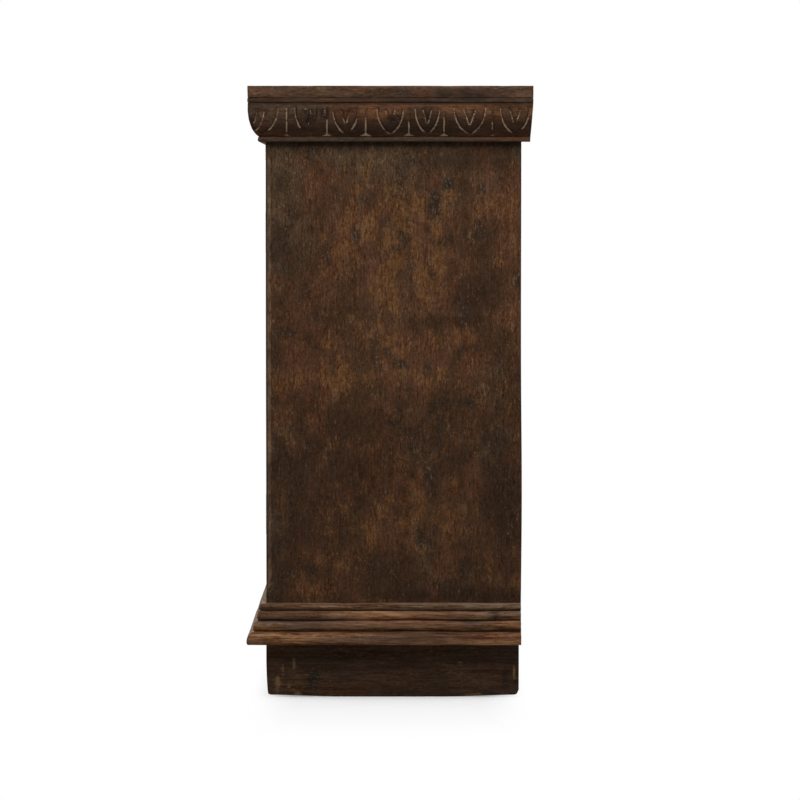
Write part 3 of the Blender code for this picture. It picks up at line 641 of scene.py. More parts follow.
def new_piece(name, shape, node, material, crease):
    """Makes an object of a finished shape, riding on the body of a solid and with its finish."""
    bmesh.ops.recalc_face_normals(shape, faces=shape.faces)
    shift_layer = layer(shape, "shift")
    for vert in shape.verts:
        vert[shift_layer] = seed_of(node) / SHIFT_SHARE
    mesh = bpy.data.meshes.new(name)
    shape.to_mesh(mesh)
    shape.free()
    mesh.shade_smooth()
    mesh.set_sharp_from_angle(angle=math.radians(crease))
    mesh.materials.append(material)
    item = bpy.data.objects.new(name, mesh)
    bpy.context.scene.collection.objects.link(item)
    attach(item, BODY_OF[node])
    return item


def show(name, shape, node, material, crease=CREASE):
    """Makes the piece that stands in for a solid."""
    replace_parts(new_piece(name, shape, node, material, crease), node)


def board(node, grain, low=None, high=None, **options):
    """One worn board in place of a solid, of the solid's size unless corners are given."""
    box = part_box(node)
    low, high = low or box[0], high or box[1]
    shape = squared(low, high, **options)
    weather(shape, low, high, seed_of(node))
    show(f"{node}_worn", shape, node, wood_for(SLOT_OF[node], grain))


print("boards lose up to", SINK + NICK, "m")

# %% [markdown]
# ## The boards inside
# Floor, shelf, bearers, blocks and back rail are plain boards. Their grain runs along their length.

# %% Inside boards
INSIDE_CELL, BLOCK_CELL = 0.03, 0.02
for node in ("floor_board", "shelf", "back_rail"):
    board(node, "x", cell=INSIDE_CELL)
for node in ("shelf_bearer_right", "shelf_bearer_left"):
    board(node, "y", cell=INSIDE_CELL)
for corner in ("front_right", "front_left", "back_right", "back_left"):
    board(f"plinth_block_{corner}", "z", cell=BLOCK_CELL)
print("inside boards are made")

# %% [markdown]
# ## Drawing out a section
# Mouldings, lapped boards and rebated ends all have one section along their whole length. Extruding a
# closed section once gives the straight form, and subdividing its long edges gives the points between. We
# draw out a unit length and then lay each point where it belongs.

# %% Drawing tools
def drawn(section, steps):
    """A closed section of (across, up) points, drawn out along Y from 0 to 1."""
    shape = bmesh.new()
    ring = [shape.verts.new((across, 0.0, up)) for across, up in section]
    edges = [shape.edges.new(pair) for pair in zip(ring, ring[1:] + ring[:1])]
    pushed = bmesh.ops.extrude_edge_only(shape, edges=edges)["geom"]
    far_ring = [item for item in pushed if isinstance(item, bmesh.types.BMVert)]
    bmesh.ops.translate(shape, vec=(0.0, 1.0, 0.0), verts=far_ring)
    bmesh.ops.holes_fill(shape, edges=[edge for edge in shape.edges if edge.is_boundary])
    long_edges = [edge for edge in shape.edges if abs(edge.verts[1].co.y - edge.verts[0].co.y) > 0.5]
    bmesh.ops.subdivide_edges(shape, edges=long_edges, cuts=steps - 1, use_grid_fill=True)
    return shape


def arc(centre, radii, first, last, steps):
    """Points on an ellipse from one angle to another, in degrees."""
    points = []
    for step in range(steps + 1):
        angle = math.radians(first + (last - first) * step / steps)
        points.append((centre[0] + radii[0] * math.cos(angle), centre[1] + radii[1] * math.sin(angle)))
    return points


def close_points(points, pitch):
    """The same line with more points on its long straight stretches."""
    dense = [points[0]]
    for first, second in zip(points, points[1:]):
        count = max(1, math.ceil(math.dist(first, second) / pitch))
        for step in range(1, count + 1):
            share = step / count
            dense.append(tuple(a + (b - a) * share for a, b in zip(first, second)))
    return dense


print("drawing tools are ready")

# %% [markdown]
# ## The plank ends
# Each end is one wide upright plank. Its front corner has a chamfer that stops short of the mouldings,
# and its back edge is rebated for the back boards. We draw its plan upwards and then push the corner in
# to the chamfer's slope, less and less towards the stops. Stains, shades, glows, dull washes and worn
# places are soft spots on the vertices, which the wood recipe breaks up.

# %% Spots on the photographed end
# For each mark, its soft spots: place along Y and Z, half sizes and strength
END_SPOTS = {
    "stain": (
        (0.0676, 0.7352, 0.013, 0.030, 1.0),
        (-0.0053, 0.7069, 0.014, 0.016, 0.9),
        (0.1316, 0.6890, 0.012, 0.016, 0.8),
        (-0.0514, 0.6875, 0.010, 0.015, 1.0),
        (-0.1570, 0.5430, 0.020, 0.013, 0.8),
        (-0.1094, 0.5639, 0.011, 0.011, 0.8),
        (0.0453, 0.2331, 0.012, 0.016, 1.0),
        (0.1360, 0.7552, 0.010, 0.010, 1.0),
        (0.0855, 0.7623, 0.009, 0.012, 1.1),
        (0.0557, 0.6970, 0.008, 0.012, 0.9),
        (0.1108, 0.6905, 0.008, 0.016, 0.8),
        (0.1122, 0.5713, 0.014, 0.022, 0.9),
        (0.1890, 0.6205, 0.006, 0.020, 0.9),
        (0.0564, 0.4906, 0.010, 0.012, 0.8),
        (0.0185, 0.4950, 0.009, 0.011, 1.0),
        (0.1160, 0.4380, 0.018, 0.010, 0.8),
        (0.0600, 0.3280, 0.010, 0.012, 1.0),
    ),
    "shade": (
        (-0.1540, 0.6400, 0.022, 0.070, 0.5),
        (-0.1330, 0.5800, 0.045, 0.110, 0.4),
        (0.1197, 0.7990, 0.060, 0.025, 0.6),
        (0.1256, 0.6060, 0.030, 0.080, 0.5),
        (-0.1005, 0.3672, 0.040, 0.060, 0.7),
        (-0.0640, 0.3300, 0.060, 0.034, 0.9),
        (0.1643, 0.3000, 0.032, 0.070, 1.4),
        (0.1494, 0.6300, 0.020, 0.035, 0.3),
        (0.0830, 0.5577, 0.060, 0.010, 0.8),
        (-0.1200, 0.4300, 0.035, 0.020, 0.7),
        (-0.1350, 0.2600, 0.035, 0.080, 0.8),
        (-0.1700, 0.3000, 0.012, 0.100, 0.4),
        (0.1860, 0.3000, 0.012, 0.100, 0.8),
    ),
    "glow": (
        (0.1837, 0.7173, 0.010, 0.035, 0.9),
        (0.0870, 0.5356, 0.042, 0.014, 0.7),
        (0.0676, 0.2700, 0.055, 0.045, 1.2),
        (-0.0737, 0.6577, 0.030, 0.040, 0.4),
        (0.0081, 0.6503, 0.030, 0.040, 0.4),
        (0.0825, 0.7412, 0.012, 0.020, 0.6),
        (0.0432, 0.7233, 0.010, 0.020, 0.6),
        (0.0230, 0.7069, 0.010, 0.014, 0.5),
        (0.0557, 0.6056, 0.030, 0.030, 0.4),
        (0.0155, 0.6700, 0.070, 0.150, 0.45),
        (-0.1570, 0.4757, 0.030, 0.018, 0.8),
        (-0.0400, 0.4757, 0.040, 0.012, 0.7),
        (0.1300, 0.1800, 0.050, 0.010, 0.6),
        (-0.0440, 0.2350, 0.050, 0.050, 0.5),
    ),
    "wash": (
        (-0.1480, 0.7546, 0.040, 0.090, 0.9),
        (0.1256, 0.7844, 0.030, 0.040, 0.7),
        (0.0000, 0.8249, 0.300, 0.040, 1.0),
    ),
    "wear_and_highlight": (
        (-0.1421, 0.7739, 0.0014, 0.018, 0.8),
        (-0.1790, 0.7950, 0.0035, 0.006, 1.3),
        (0.0970, 0.3565, 0.014, 0.024, 0.28),
        (-0.0813, 0.3470, 0.008, 0.016, 0.34),
        (-0.0217, 0.3505, 0.008, 0.018, 0.30),
        (-0.0515, 0.4027, 0.008, 0.012, 0.30),
        (0.0850, 0.4020, 0.014, 0.010, 0.30),
        (-0.1500, 0.4100, 0.012, 0.008, 0.28),
    ),
}


def spot_strength(spots, y, z):
    """How strongly a list of soft spots covers one place."""
    total = 0.0
    for spot_y, spot_z, half_y, half_z, strength in spots:
        reach = ((y - spot_y) / half_y) ** 2 + ((z - spot_z) / half_z) ** 2
        total = max(total, strength * math.exp(-reach))
    return total


def smooth_share(value):
    """0 below 0, 1 above 1, and a smooth rise between."""
    value = min(1.0, max(0.0, value))
    return value * value * (3 - 2 * value)


def ramp(value, start, end):
    """A smooth rise from 0 at one value to 1 at another."""
    return smooth_share((value - start) / (end - start))


print(sum(map(len, END_SPOTS.values())), "spots on the photographed end")

# %% Plank ends
PANEL_CELL = 0.005
CORNER_STEP, CORNER_STEPS = 0.001, 12
CHAMFER = 0.0080
CHAMFER_RUNOUT = 0.012
CHAMFER_HEAD, CHAMFER_FOOT = 0.0215, 0.0162
CHAMFER_DARK, CHAMFER_BLEND = 0.0022, 0.001
# How pale the chamfer's inner side is worn, and how dark its front side is painted as shade
CHAMFER_WEAR, CHAMFER_SHADE = 0.55, 0.8
CHAMFER_MARGIN, LEAST_STOP = 0.0005, 0.05
RAGGED, RAGGED_SCALE = 0.10, 30
REBATE_WALL = 0.015
BACK_THICKNESS = 0.012
BACK_EDGE = 0.004
BACK_BOW = 0.0016
BOW_HEIGHT = 0.30
BOW_REACH = 0.13
BOW_WIDTH = 0.010
PLANK_SINK_SCALE = 6
# Spots reach this far in from the outer face
SPOT_DEPTH = 0.010
# Borders: a darker band at the foot, a paler strip just above the base, a painted shadow under the cornice
# and painted shade along the back edge: how far each one reaches, then its height or strength
FOOT_DARK, FOOT_DARK_HEIGHT, FOOT_FADE = 0.016, 0.010, 0.10
FOOT_PALING, FOOT_PALING_MOST = 0.004, 0.4
HEAD_SHADOW, HEAD_SHADOW_MOST = 0.012, 0.6
BACK_SHADOW, BACK_SHADOW_MOST = 0.0025, 0.7
LOW_SHADE_FROM, LOW_SHADE_TO, LOW_SHADE = 0.50, 0.38, 0.40
cornice_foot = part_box("cornice_right")[0].z
base_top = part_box("base_moulding_right")[1].z


def end_section(depth, thickness):
    """The plan of a plank end: (outward from the inner face, back from the front face)."""
    back_wall = depth - BACK_THICKNESS
    soft = EDGE_ROUND
    outer = [(thickness, soft + step * CORNER_STEP) for step in range(CORNER_STEPS)]
    outer += [(thickness, depth - BACK_EDGE), (thickness, depth - soft)]
    points = arc((soft, soft), (soft, soft), 180, 270, 3)
    points += [(thickness - step * CORNER_STEP, 0.0) for step in range(CORNER_STEPS, 1, -1)]
    points += arc((thickness - soft, soft), (soft, soft), 270, 360, 3)
    points += close_points(outer, PANEL_CELL)[1:-1]
    points += arc((thickness - soft, depth - soft), (soft, soft), 0, 90, 3)
    points += [(thickness - REBATE_WALL, depth), (thickness - REBATE_WALL, back_wall), (0.0, back_wall)]
    return points


def plank_end(node, side):
    """One plank end, with its stopped chamfer and its spots."""
    low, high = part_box(node)
    size = high - low
    shape = drawn(end_section(size.y, size.x), round(size.z / PANEL_CELL))
    inner = low.x if side > 0 else high.x
    layers = mark_layers(shape, "wear_and_highlight", "dirt_and_shade", "stain", "shade", "glow", "wash")
    first_stop, last_stop = base_top + CHAMFER_FOOT, cornice_foot - CHAMFER_HEAD
    for vert in shape.verts:
        out, share, back = vert.co
        z = low.z + size.z * share
        from_face = size.x - out
        marks = dict.fromkeys(layers, 0.0)

        # The chamfer: its inner side worn pale, its front side darkened with painted shade
        stop = smooth_share((z - first_stop) / CHAMFER_RUNOUT)
        stop *= smooth_share((last_stop - z) / CHAMFER_RUNOUT)
        ragged = 1 - RAGGED * abs(wander(side * 5.0, 0.0, z * RAGGED_SCALE))
        short = CHAMFER * ragged * stop - from_face - back
        if short > -CHAMFER_MARGIN and stop > LEAST_STOP:
            across = back + max(0.0, short) / 2
            marks["wear_and_highlight"] = CHAMFER_WEAR * smooth_share((across - CHAMFER_DARK) / CHAMFER_BLEND)
            marks["dirt_and_shade"] = CHAMFER_SHADE * smooth_share((CHAMFER_DARK - across) / CHAMFER_BLEND)
            marks["glow"] = marks["wear_and_highlight"]
        if short > 0:
            back += short / 2
            from_face += short / 2

        # The back edge bows out a little
        bow = BACK_BOW * math.exp(-((z - BOW_HEIGHT) / BOW_REACH) ** 2)
        y = low.y + back + bow * smooth_share(1 - (size.y - back) / BOW_WIDTH)
        vert.co = (inner + side * (size.x - from_face), y, z)

        # Spots, and borders: a darker foot, a paler strip above the base, and painted shadow and shade at
        # the head and back
        if from_face < SPOT_DEPTH and side > 0:
            for mark, spots in END_SPOTS.items():
                marks[mark] = max(marks[mark], spot_strength(spots, y, z))
        low_shade = LOW_SHADE * ramp(z, LOW_SHADE_FROM, LOW_SHADE_TO)
        foot_dark = 0.5 + 0.5 * ramp(y, -FOOT_FADE, FOOT_FADE)
        foot_dark *= math.exp(-((z - base_top - FOOT_DARK_HEIGHT) / FOOT_DARK) ** 2)
        foot_paling = FOOT_PALING_MOST * fade(z - base_top, FOOT_PALING)
        # A painted shadow under the cornice, and painted shade along the back edge
        head_shadow = HEAD_SHADOW_MOST * fade(cornice_foot - z, HEAD_SHADOW)
        back_shadow = BACK_SHADOW_MOST * fade(high.y + bow - y, BACK_SHADOW)
        marks["shade"] = max(marks["shade"], low_shade, foot_dark) * (1 - foot_paling)
        marks["glow"] = max(marks["glow"], foot_paling)
        marks["dirt_and_shade"] = max(marks["dirt_and_shade"], head_shadow, back_shadow)
        paint(vert, layers, marks)
    bmesh.ops.recalc_face_normals(shape, faces=shape.faces)
    sinks = [wander(side, vert.co.y * SINK_SCALE, vert.co.z * PLANK_SINK_SCALE) for vert in shape.verts]
    press(shape, [SINK * (0.5 + 0.5 * sink) for sink in sinks])
    show(f"{node}_worn", shape, node, wood_for("dark_plank", "z"))


plank_end("end_panel_right", 1)
plank_end("end_panel_left", -1)
print("plank ends are made")

# %% [markdown]
# ## The boarded back
# The back boards are half lapped, so that no light comes through when the wood shrinks. Their plan is a
# step at each lapped edge. We draw it upwards like the ends.

# %% Back boards
BACK_LAP = 0.008
BACK_BOARDS = 4
LAP_GAP = 0.0003
BACK_CELL = 0.03
BACK_WEAR = 0.4
for number in range(1, BACK_BOARDS + 1):
    node = f"back_board_{number}"
    low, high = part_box(node)
    inside_left = low.x + (BACK_LAP if number > 1 else 0.0)
    outside_right = high.x - (BACK_LAP if number < BACK_BOARDS else 0.0)
    middle = (low.y + high.y) / 2
    plan = [(inside_left, low.y), (high.x, low.y)]
    if number < BACK_BOARDS:
        plan += [(high.x, middle - LAP_GAP / 2), (outside_right, middle - LAP_GAP / 2)]
    plan += [(outside_right, high.y), (low.x, high.y)]
    if number > 1:
        plan += [(low.x, middle + LAP_GAP / 2), (inside_left, middle + LAP_GAP / 2)]
    shape = drawn(close_points(plan + plan[:1], BACK_CELL)[:-1], round((high.z - low.z) / BACK_CELL))
    for vert in shape.verts:
        across, share, back = vert.co
        vert.co = (across, back, low.z + (high.z - low.z) * share)
    weather(shape, low, high, seed_of(node), wear_and_highlight=BACK_WEAR)
    show(f"{node}_worn", shape, node, wood_for("inside_wood", "z"), crease=30)
print(BACK_BOARDS, "back boards are made")

# %% [markdown]
# ## The front frame
# The frame's stiles stand between the ends, and the rails between the stiles. The tenons are out of
# sight, so a rail is only as long as the gap that it fills. A stile that carries hinges needs hollows
# round their knuckles. A boolean cut would do it, but moving the points near the pin out to a circle
# keeps clean faces.

# %% Front frame
HINGE_LENGTH = 0.060
KNUCKLE_RADIUS = 0.003
HOLLOW_RADIUS = 0.0034
HOLLOW_SLICES = 4
HOLLOW_END = 0.0003
LEDGE = 0.0002
RAIL_CELL = 0.02


def hinge_places(side):
    """The pin's place in plan, and the foot of each hinge on one side."""
    corners = [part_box(f"door_{side}_{place}_hinge_frame_leaf")[0] for place in ("lower", "upper")]
    pin = corners[0] + Vector((KNUCKLE_RADIUS, KNUCKLE_RADIUS, 0.0))
    return pin, [corner.z for corner in corners]


def hinge_upright(node, side):
    """An upright that carries hinges, hollowed round their knuckles."""
    low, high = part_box(node)
    pin, feet = hinge_places(side)
    shape = squared(low, high)
    for axis in (0, 1):
        steps = range(-HOLLOW_SLICES, HOLLOW_SLICES + 1)
        places = [pin[axis] + HOLLOW_RADIUS * step / HOLLOW_SLICES for step in steps]
        slice_up(shape, axis, [place for place in places if low[axis] < place < high[axis]])
    spans = [(foot - HOLLOW_END, foot + HINGE_LENGTH + HOLLOW_END) for foot in feet]
    for foot, head in spans:
        slice_up(shape, 2, (foot - LEDGE, foot, head, head + LEDGE))
    weather(shape, low, high, seed_of(node))
    for vert in shape.verts:
        aside = vert.co.xy - pin.xy
        beside = any(foot - LEDGE / 2 < vert.co.z < head + LEDGE / 2 for foot, head in spans)
        if beside and aside.length < HOLLOW_RADIUS:
            moved = pin.xy + aside.normalized() * HOLLOW_RADIUS
            vert.co.x = min(max(moved.x, low.x), high.x)
            vert.co.y = min(max(moved.y, low.y), high.y)
    show(f"{node}_worn", shape, node, wood_for("dark_plank", "z"))


def between(node, left, right):
    """The corners of a rail's solid, shortened to the gap between two uprights."""
    low, high = (corner.copy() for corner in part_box(node))
    low.x, high.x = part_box(left)[1].x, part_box(right)[0].x
    return low, high


for side in ("right", "left"):
    hinge_upright(f"frame_stile_{side}", side)
for node in ("frame_head_rail", "frame_foot_rail"):
    low, high = between(node, "frame_stile_left", "frame_stile_right")
    board(node, "x", low, high, cell=RAIL_CELL)
print("front frame is made")

# %% [markdown]
# ## Laying mouldings round the cabinet
# One moulding runs along the right end, the front and the left end. At the two front corners it is
# mitred: each point of the section runs on past the corner by as much as it stands out, so that two runs
# meet on the diagonal. At the back it is cut off, and the cornice is a little undercut there.

# %% Laying tools
FIT_GAP = 0.0003
# From this far off, a moulding wavers less and less towards a mitre
CALM_REACH = 0.06
SWAY_ALONG, SWAY_UP = 11, 60
# A run of moulding: its start, its way along and out, its length, and whether each end is mitred
Run = namedtuple("Run", "corner along outward length mitres")
end_low, end_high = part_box("end_panel_right")
FACE, FRONT, BACK = end_high.x, end_low.y, end_high.y


def runs_of(face, front, back):
    """The three runs of a moulding, round a face and a front and up to a back."""
    runs = {}
    for side, sign in {"right": 1, "left": -1}.items():
        corner = Vector((sign * face, front, 0.0))
        runs[side] = Run(corner, Vector((0, 1, 0)), Vector((sign, 0, 0)), back - front, (True, False))
    corner = Vector((-face, front, 0.0))
    runs["front"] = Run(corner, Vector((1, 0, 0)), Vector((0, -1, 0)), 2 * face, (True, True))
    return runs


def grain_of(side):
    """The grain runs along a moulding."""
    return "x" if side in ("front", "back") else "y"


def laid(node, section, run, pitch, slant=0.0, wave=0.0):
    """A moulding drawn out along its run, and each point's (distance from the corner, height)."""
    shape = drawn(section, round(run.length / pitch))
    foot = min(up for _, up in section)
    top = max(up for _, up in section)
    places = []
    for vert in shape.verts:
        out, share, up = vert.co
        first = -out + FIT_GAP / 2 if run.mitres[0] else 0.0
        last = run.length + (out - FIT_GAP / 2 if run.mitres[1] else -slant * (top - up) / (top - foot))
        distance = first + (last - first) * share
        calm = smooth_share(distance / CALM_REACH)
        if run.mitres[1]:
            calm *= smooth_share((run.length - distance) / CALM_REACH)
        sway = wave * calm * wander(distance * SWAY_ALONG, up * SWAY_UP, seed_of(node))
        vert.co = run.corner + run.along * distance + run.outward * out + UP * (up + sway)
        places.append((distance, up))
    bmesh.ops.recalc_face_normals(shape, faces=shape.faces)
    return shape, places


print("end face at", round(FACE, 4), "m, front at", round(FRONT, 4), "m")

# %% [markdown]
# ## The base moulding
# Four rounded beads step in as they rise, the lowest the largest. Dirt and painted shade lie in the quirks
# between them, the crowns are rubbed pale and carry a painted highlight, and the lower halves take painted
# shade on the upper beads and painted light on the lower ones. The section is the same for all three runs.

# %% Base moulding
BEAD_HEIGHTS = (0.0189, 0.0158, 0.0144, 0.0114)
BEAD_PROJECTIONS = (0.0280, 0.0183, 0.0126, 0.0096)
BEAD_QUIRK = 0.0015
BEAD_GROOVE = 0.0008
BEAD_UNDER = 0.0024
BEAD_WAIST = 0.32
BEAD_ROUND = 0.0040
BEAD_PITCH = 0.003
BEAD_WAVE = 0.0009
BEAD_DENT = 0.0005
# The lower half of a bead fades out over these shares of its height
HALF_FROM, HALF_TO = 0.55, 0.25
# Where up each bead it is rubbed pale and given a painted highlight, from the lowest bead: share of its
# height, half height, strength
BEAD_RUBS_AND_HIGHLIGHTS = ((0.78, 0.26, 0.70), (0.72, 0.30, 0.65), (0.72, 0.20, 0.70), (0.58, 0.20, 1.10))
# How much painted shade darkens the lower half of each bead, and how much painted light brightens and warms
# it
BEAD_SHADES = (0.0, 0.1, 0.2, 0.7)
BEAD_GLOWS = (0.8, 0.4, 0.2, 0.0)
# How dull each bead is
BEAD_WASHES = (0.0, 0.2, 0.6, 0.9)
# How far below and above a quirk its dirt and painted shade reach
DIRT_AND_SHADE_BELOW, DIRT_AND_SHADE_ABOVE = 0.0026, 0.0010
# Zones on the photographed end: mark, bead from the foot up, place along Y, half length, strength
BEAD_ZONES = (
    ("glow", 0, -0.165, 0.045, 0.6),
    ("wash", 1, -0.135, 0.035, 0.9),
    ("glow", 1, -0.200, 0.015, 0.5),
    ("wash", 1, 0.125, 0.025, 0.9),
    ("glow", 1, 0.176, 0.014, 0.6),
    ("glow", 2, -0.015, 0.065, 0.8),
    ("stain", 2, 0.156, 0.012, 1.0),
    ("wash", 3, -0.130, 0.120, 0.9),
    ("wash", 2, -0.170, 0.030, 0.7),
)
base_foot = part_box("base_moulding_right")[0].z


def bead_section():
    """The beads' section, and the heights of the quirks between them."""
    points = [(0.0, base_foot)]
    quirks = []
    foot = base_foot
    inner_edges = [upper - BEAD_QUIRK for upper in BEAD_PROJECTIONS[1:]]
    inner_edges.append(BEAD_PROJECTIONS[-1] - BEAD_ROUND)
    for height, projection, inner in zip(BEAD_HEIGHTS, BEAD_PROJECTIONS, inner_edges):
        lip = foot if foot == base_foot else foot + BEAD_GROOVE
        if lip > foot:
            points.append((points[-1][0], lip))
            quirks.append(lip)
        waist = foot + BEAD_WAIST * height
        points += arc((projection - BEAD_UNDER, waist), (BEAD_UNDER, waist - lip), -90, 0, 5)
        points += arc((inner, waist), (projection - inner, foot + height - waist), 0, 90, 9)[1:]
        foot += height
    points.append((0.0, foot))
    return close_points(points, BEAD_PITCH), quirks


def bead_at(up):
    """Which bead a height is on, counted from the foot, and how far up that bead it is."""
    foot = base_foot
    for number, height in enumerate(BEAD_HEIGHTS):
        if up < foot + height or number == len(BEAD_HEIGHTS) - 1:
            return number, (up - foot) / height
        foot += height


section, quirks = bead_section()
for side, run in runs_of(FACE + FIT_GAP, FRONT - FIT_GAP, BACK).items():
    node = f"base_moulding_{side}"
    seed = seed_of(node)
    shape, places = laid(node, section, run, BEAD_PITCH, wave=BEAD_WAVE)
    layers = mark_layers(shape, "wear_and_highlight", "dirt_and_shade", "shade", "glow", "wash", "stain")
    depths = []
    for vert, (distance, up) in zip(shape.verts, places):
        number, share = bead_at(up)
        middle, half, strength = BEAD_RUBS_AND_HIGHLIGHTS[number]
        near_quirk = min(max((quirk - up) / DIRT_AND_SHADE_BELOW, (up - quirk) / DIRT_AND_SHADE_ABOVE) for quirk in quirks)
        rub = wander(distance * 16, up * 90, seed)
        dark_wander = wander(distance * 9, up * 50, 7.0 + seed)
        lower_half = ramp(share, HALF_FROM, HALF_TO)
        # Crowns take wear and a painted highlight, quirks dirt and painted shade, and lower halves the
        # painted shade and painted light of their bead
        marks = {
            "wear_and_highlight": strength * fade(abs(share - middle), half) * (0.65 + 0.6 * rub),
            "dirt_and_shade": (0.65 + 0.5 * dark_wander) * fade(near_quirk, 1.0),
            "shade": max(0.0, 0.7 * dark_wander, BEAD_SHADES[number] * lower_half),
            "glow": BEAD_GLOWS[number] * lower_half,
            "wash": BEAD_WASHES[number],
            "stain": 0.0,
        }
        for mark, bead, place, reach, most in BEAD_ZONES:
            if side == "right" and bead == number:
                marks[mark] = max(marks[mark], most * math.exp(-((vert.co.y - place) / reach) ** 2))
        paint(vert, layers, marks)
        depths.append(BEAD_DENT * max(0.0, 0.3 + wander(distance * 45, up * 220, 3.0)))
    press(shape, depths)
    show(f"{node}_worn", shape, node, wood_for("worn_moulding", grain_of(side)), crease=50)
print("base moulding is made of", len(BEAD_HEIGHTS), "beads")

# %% [markdown]
# ## The carved cornice
# The cornice swells from a small bead to an upright lip. A carver has cut leaves and darts into the
# swelling: two lines that meet in a point make a leaf, a V lies inside it, and an upright dart with a
# spread foot stands between two leaves. We give the moulding points about a millimetre apart and press
# each one in by its depth in the carving. Old lime is left in the cuts, so the same function also says
# how pale each point is.

# %% Cornice section
CORNICE_LIP = 0.0080
CORNICE_BEAD_HEIGHT = 0.0076
CORNICE_BEAD_PROJECTION = 0.0103
CORNICE_BEAD_ROUND = 0.0024
CORNICE_QUIRK = 0.0015
CORNICE_SLANT = 0.0044
CORNICE_EDGE = 0.0012
OVOLO_SWEEP = 75.0
OVOLO_GIRTH = 0.044
CORNICE_FLAT_PITCH = 0.002
cornice_low, cornice_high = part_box("cornice_right")
cornice_out = cornice_high.x - FACE - FIT_GAP
bead_head = cornice_low.z + CORNICE_BEAD_HEIGHT


def cornice_section(pitch):
    """The cornice's section, with points a pitch apart on the carved swelling."""
    bead_foot = (CORNICE_BEAD_PROJECTION - CORNICE_BEAD_ROUND, cornice_low.z + CORNICE_BEAD_ROUND)
    points = [(0.0, cornice_low.z)]
    points += arc(bead_foot, (CORNICE_BEAD_ROUND, CORNICE_BEAD_ROUND), -90, 0, 8)
    points += [(CORNICE_BEAD_PROJECTION, bead_head - 1.6 * CORNICE_QUIRK)]
    points += [(CORNICE_BEAD_PROJECTION - 0.4 * CORNICE_QUIRK, bead_head - 0.8 * CORNICE_QUIRK)]
    sweep = math.radians(OVOLO_SWEEP)
    start = CORNICE_BEAD_PROJECTION - CORNICE_QUIRK
    width = (cornice_out - start) / (1 - math.cos(sweep))
    crown = cornice_high.z - CORNICE_LIP
    rise = (crown - bead_head) / math.sin(sweep)
    points += arc((cornice_out - width, crown), (width, rise), -OVOLO_SWEEP, 0, round(OVOLO_GIRTH / pitch))
    edge_centre = (cornice_out - CORNICE_EDGE, cornice_high.z - CORNICE_EDGE)
    points += arc(edge_centre, (CORNICE_EDGE, CORNICE_EDGE), 0, 90, 3)
    return close_points(points + [(0.0, cornice_high.z)], max(pitch, CORNICE_FLAT_PITCH))


print("cornice stands out", round(cornice_out * 1000, 1), "mm")

# %% [markdown]
# The photographed end is worn unevenly, so each of its carved lines has its own reach: the heights above
# the cornice's foot between which it still shows, and how strongly. The other two runs are spaced by
# rule, with small strays.

# %% Carved leaves and darts
LINE_HALF = 0.0015
LINE_DEPTH = 0.0016
LINE_TAPER = 0.003
# Painted shade lies this far to one side of each carved line
DARK_SIDE = 0.0024
LEAF_TIP = 0.0110
LEAF_TOP = 0.0495
LEAF_CURVE = 0.7
LEAF_END = 1.06
LEAF_DIRT = 0.25
VEIN_TIP = 0.0240
VEIN_TOP = 0.0480
VEIN_SHARE = 0.38
VEIN_CURVE = 0.85
# A vein slants, so it is this much narrower square across than level
VEIN_SLANT = 0.9
DART_FOOT = 0.0082
FOOT_HALF = 0.0078
FOOT_HEIGHT = 0.0048
FOOT_MOST = 1.3
FOOT_PALE = 1.5
FOOT_DEPTH = 0.0005
FOOT_CURVE = 1.3
GONE = (0.0, 0.0, 0.0)

# Leaves: middle, half width, then (from, to, strength) of the left line, the right line and the vein
END_LEAVES = (
    (-0.0300, 0.0190, GONE, (0.027, 0.044, 0.75), GONE),
    (-0.0200, 0.0197, GONE, (0.016, 0.044, 0.90), GONE),
    (-0.0040, 0.0240, GONE, (0.016, 0.050, 1.00), GONE),
    (0.0624, 0.0176, (0.020, 0.051, 0.75), GONE, (0.020, 0.046, 0.20)),
    (0.1194, 0.0190, (0.0130, 0.044, 1.00), (0.017, 0.034, 0.60), (0.027, 0.045, 0.50)),
    (0.1852, 0.0195, (0.0105, 0.049, 0.90), (0.0105, 0.047, 0.85), (0.040, 0.047, 0.80)),
    (0.2397, 0.0180, (0.0130, 0.049, 1.00), (0.0130, 0.047, 0.85), (0.026, 0.047, 0.60)),
    (0.3022, 0.0233, (0.0118, 0.050, 1.00), (0.0118, 0.050, 0.95), (0.024, 0.048, 0.90)),
    (0.3688, 0.0216, (0.0130, 0.049, 0.95), (0.0180, 0.040, 0.80), (0.028, 0.046, 0.65)),
)
# Darts: place, then (from, to, strength) of the line, and the strength of the foot
END_DARTS = (
    (0.0326, (0.0105, 0.051, 0.80), 0.75),
    (0.0920, (0.0120, 0.033, 0.80), 1.00),
    (0.1490, (0.0140, 0.036, 0.70), 1.20),
    (0.2126, (0.0120, 0.030, 0.75), 1.05),
    (0.2644, (0.0140, 0.053, 0.85), 0.85),
    (0.3355, (0.0180, 0.030, 0.70), 0.45),
)
# Dark blotches: place along the run and up, half sizes, strength
BLOTCHES = (
    (0.0605, 0.044, 0.0018, 0.0040, 1.3),
    (0.0655, 0.034, 0.0028, 0.0075, 1.5),
    (0.0710, 0.038, 0.0018, 0.0080, 1.4),
    (0.0846, 0.040, 0.0022, 0.0090, 1.7),
    (0.0928, 0.042, 0.0022, 0.0075, 1.7),
    (0.0885, 0.036, 0.0040, 0.0040, 1.2),
    (0.1490, 0.043, 0.0020, 0.0060, 1.0),
    (0.1930, 0.035, 0.0160, 0.0060, 1.2),
    (0.3355, 0.042, 0.0022, 0.0060, 1.1),
)
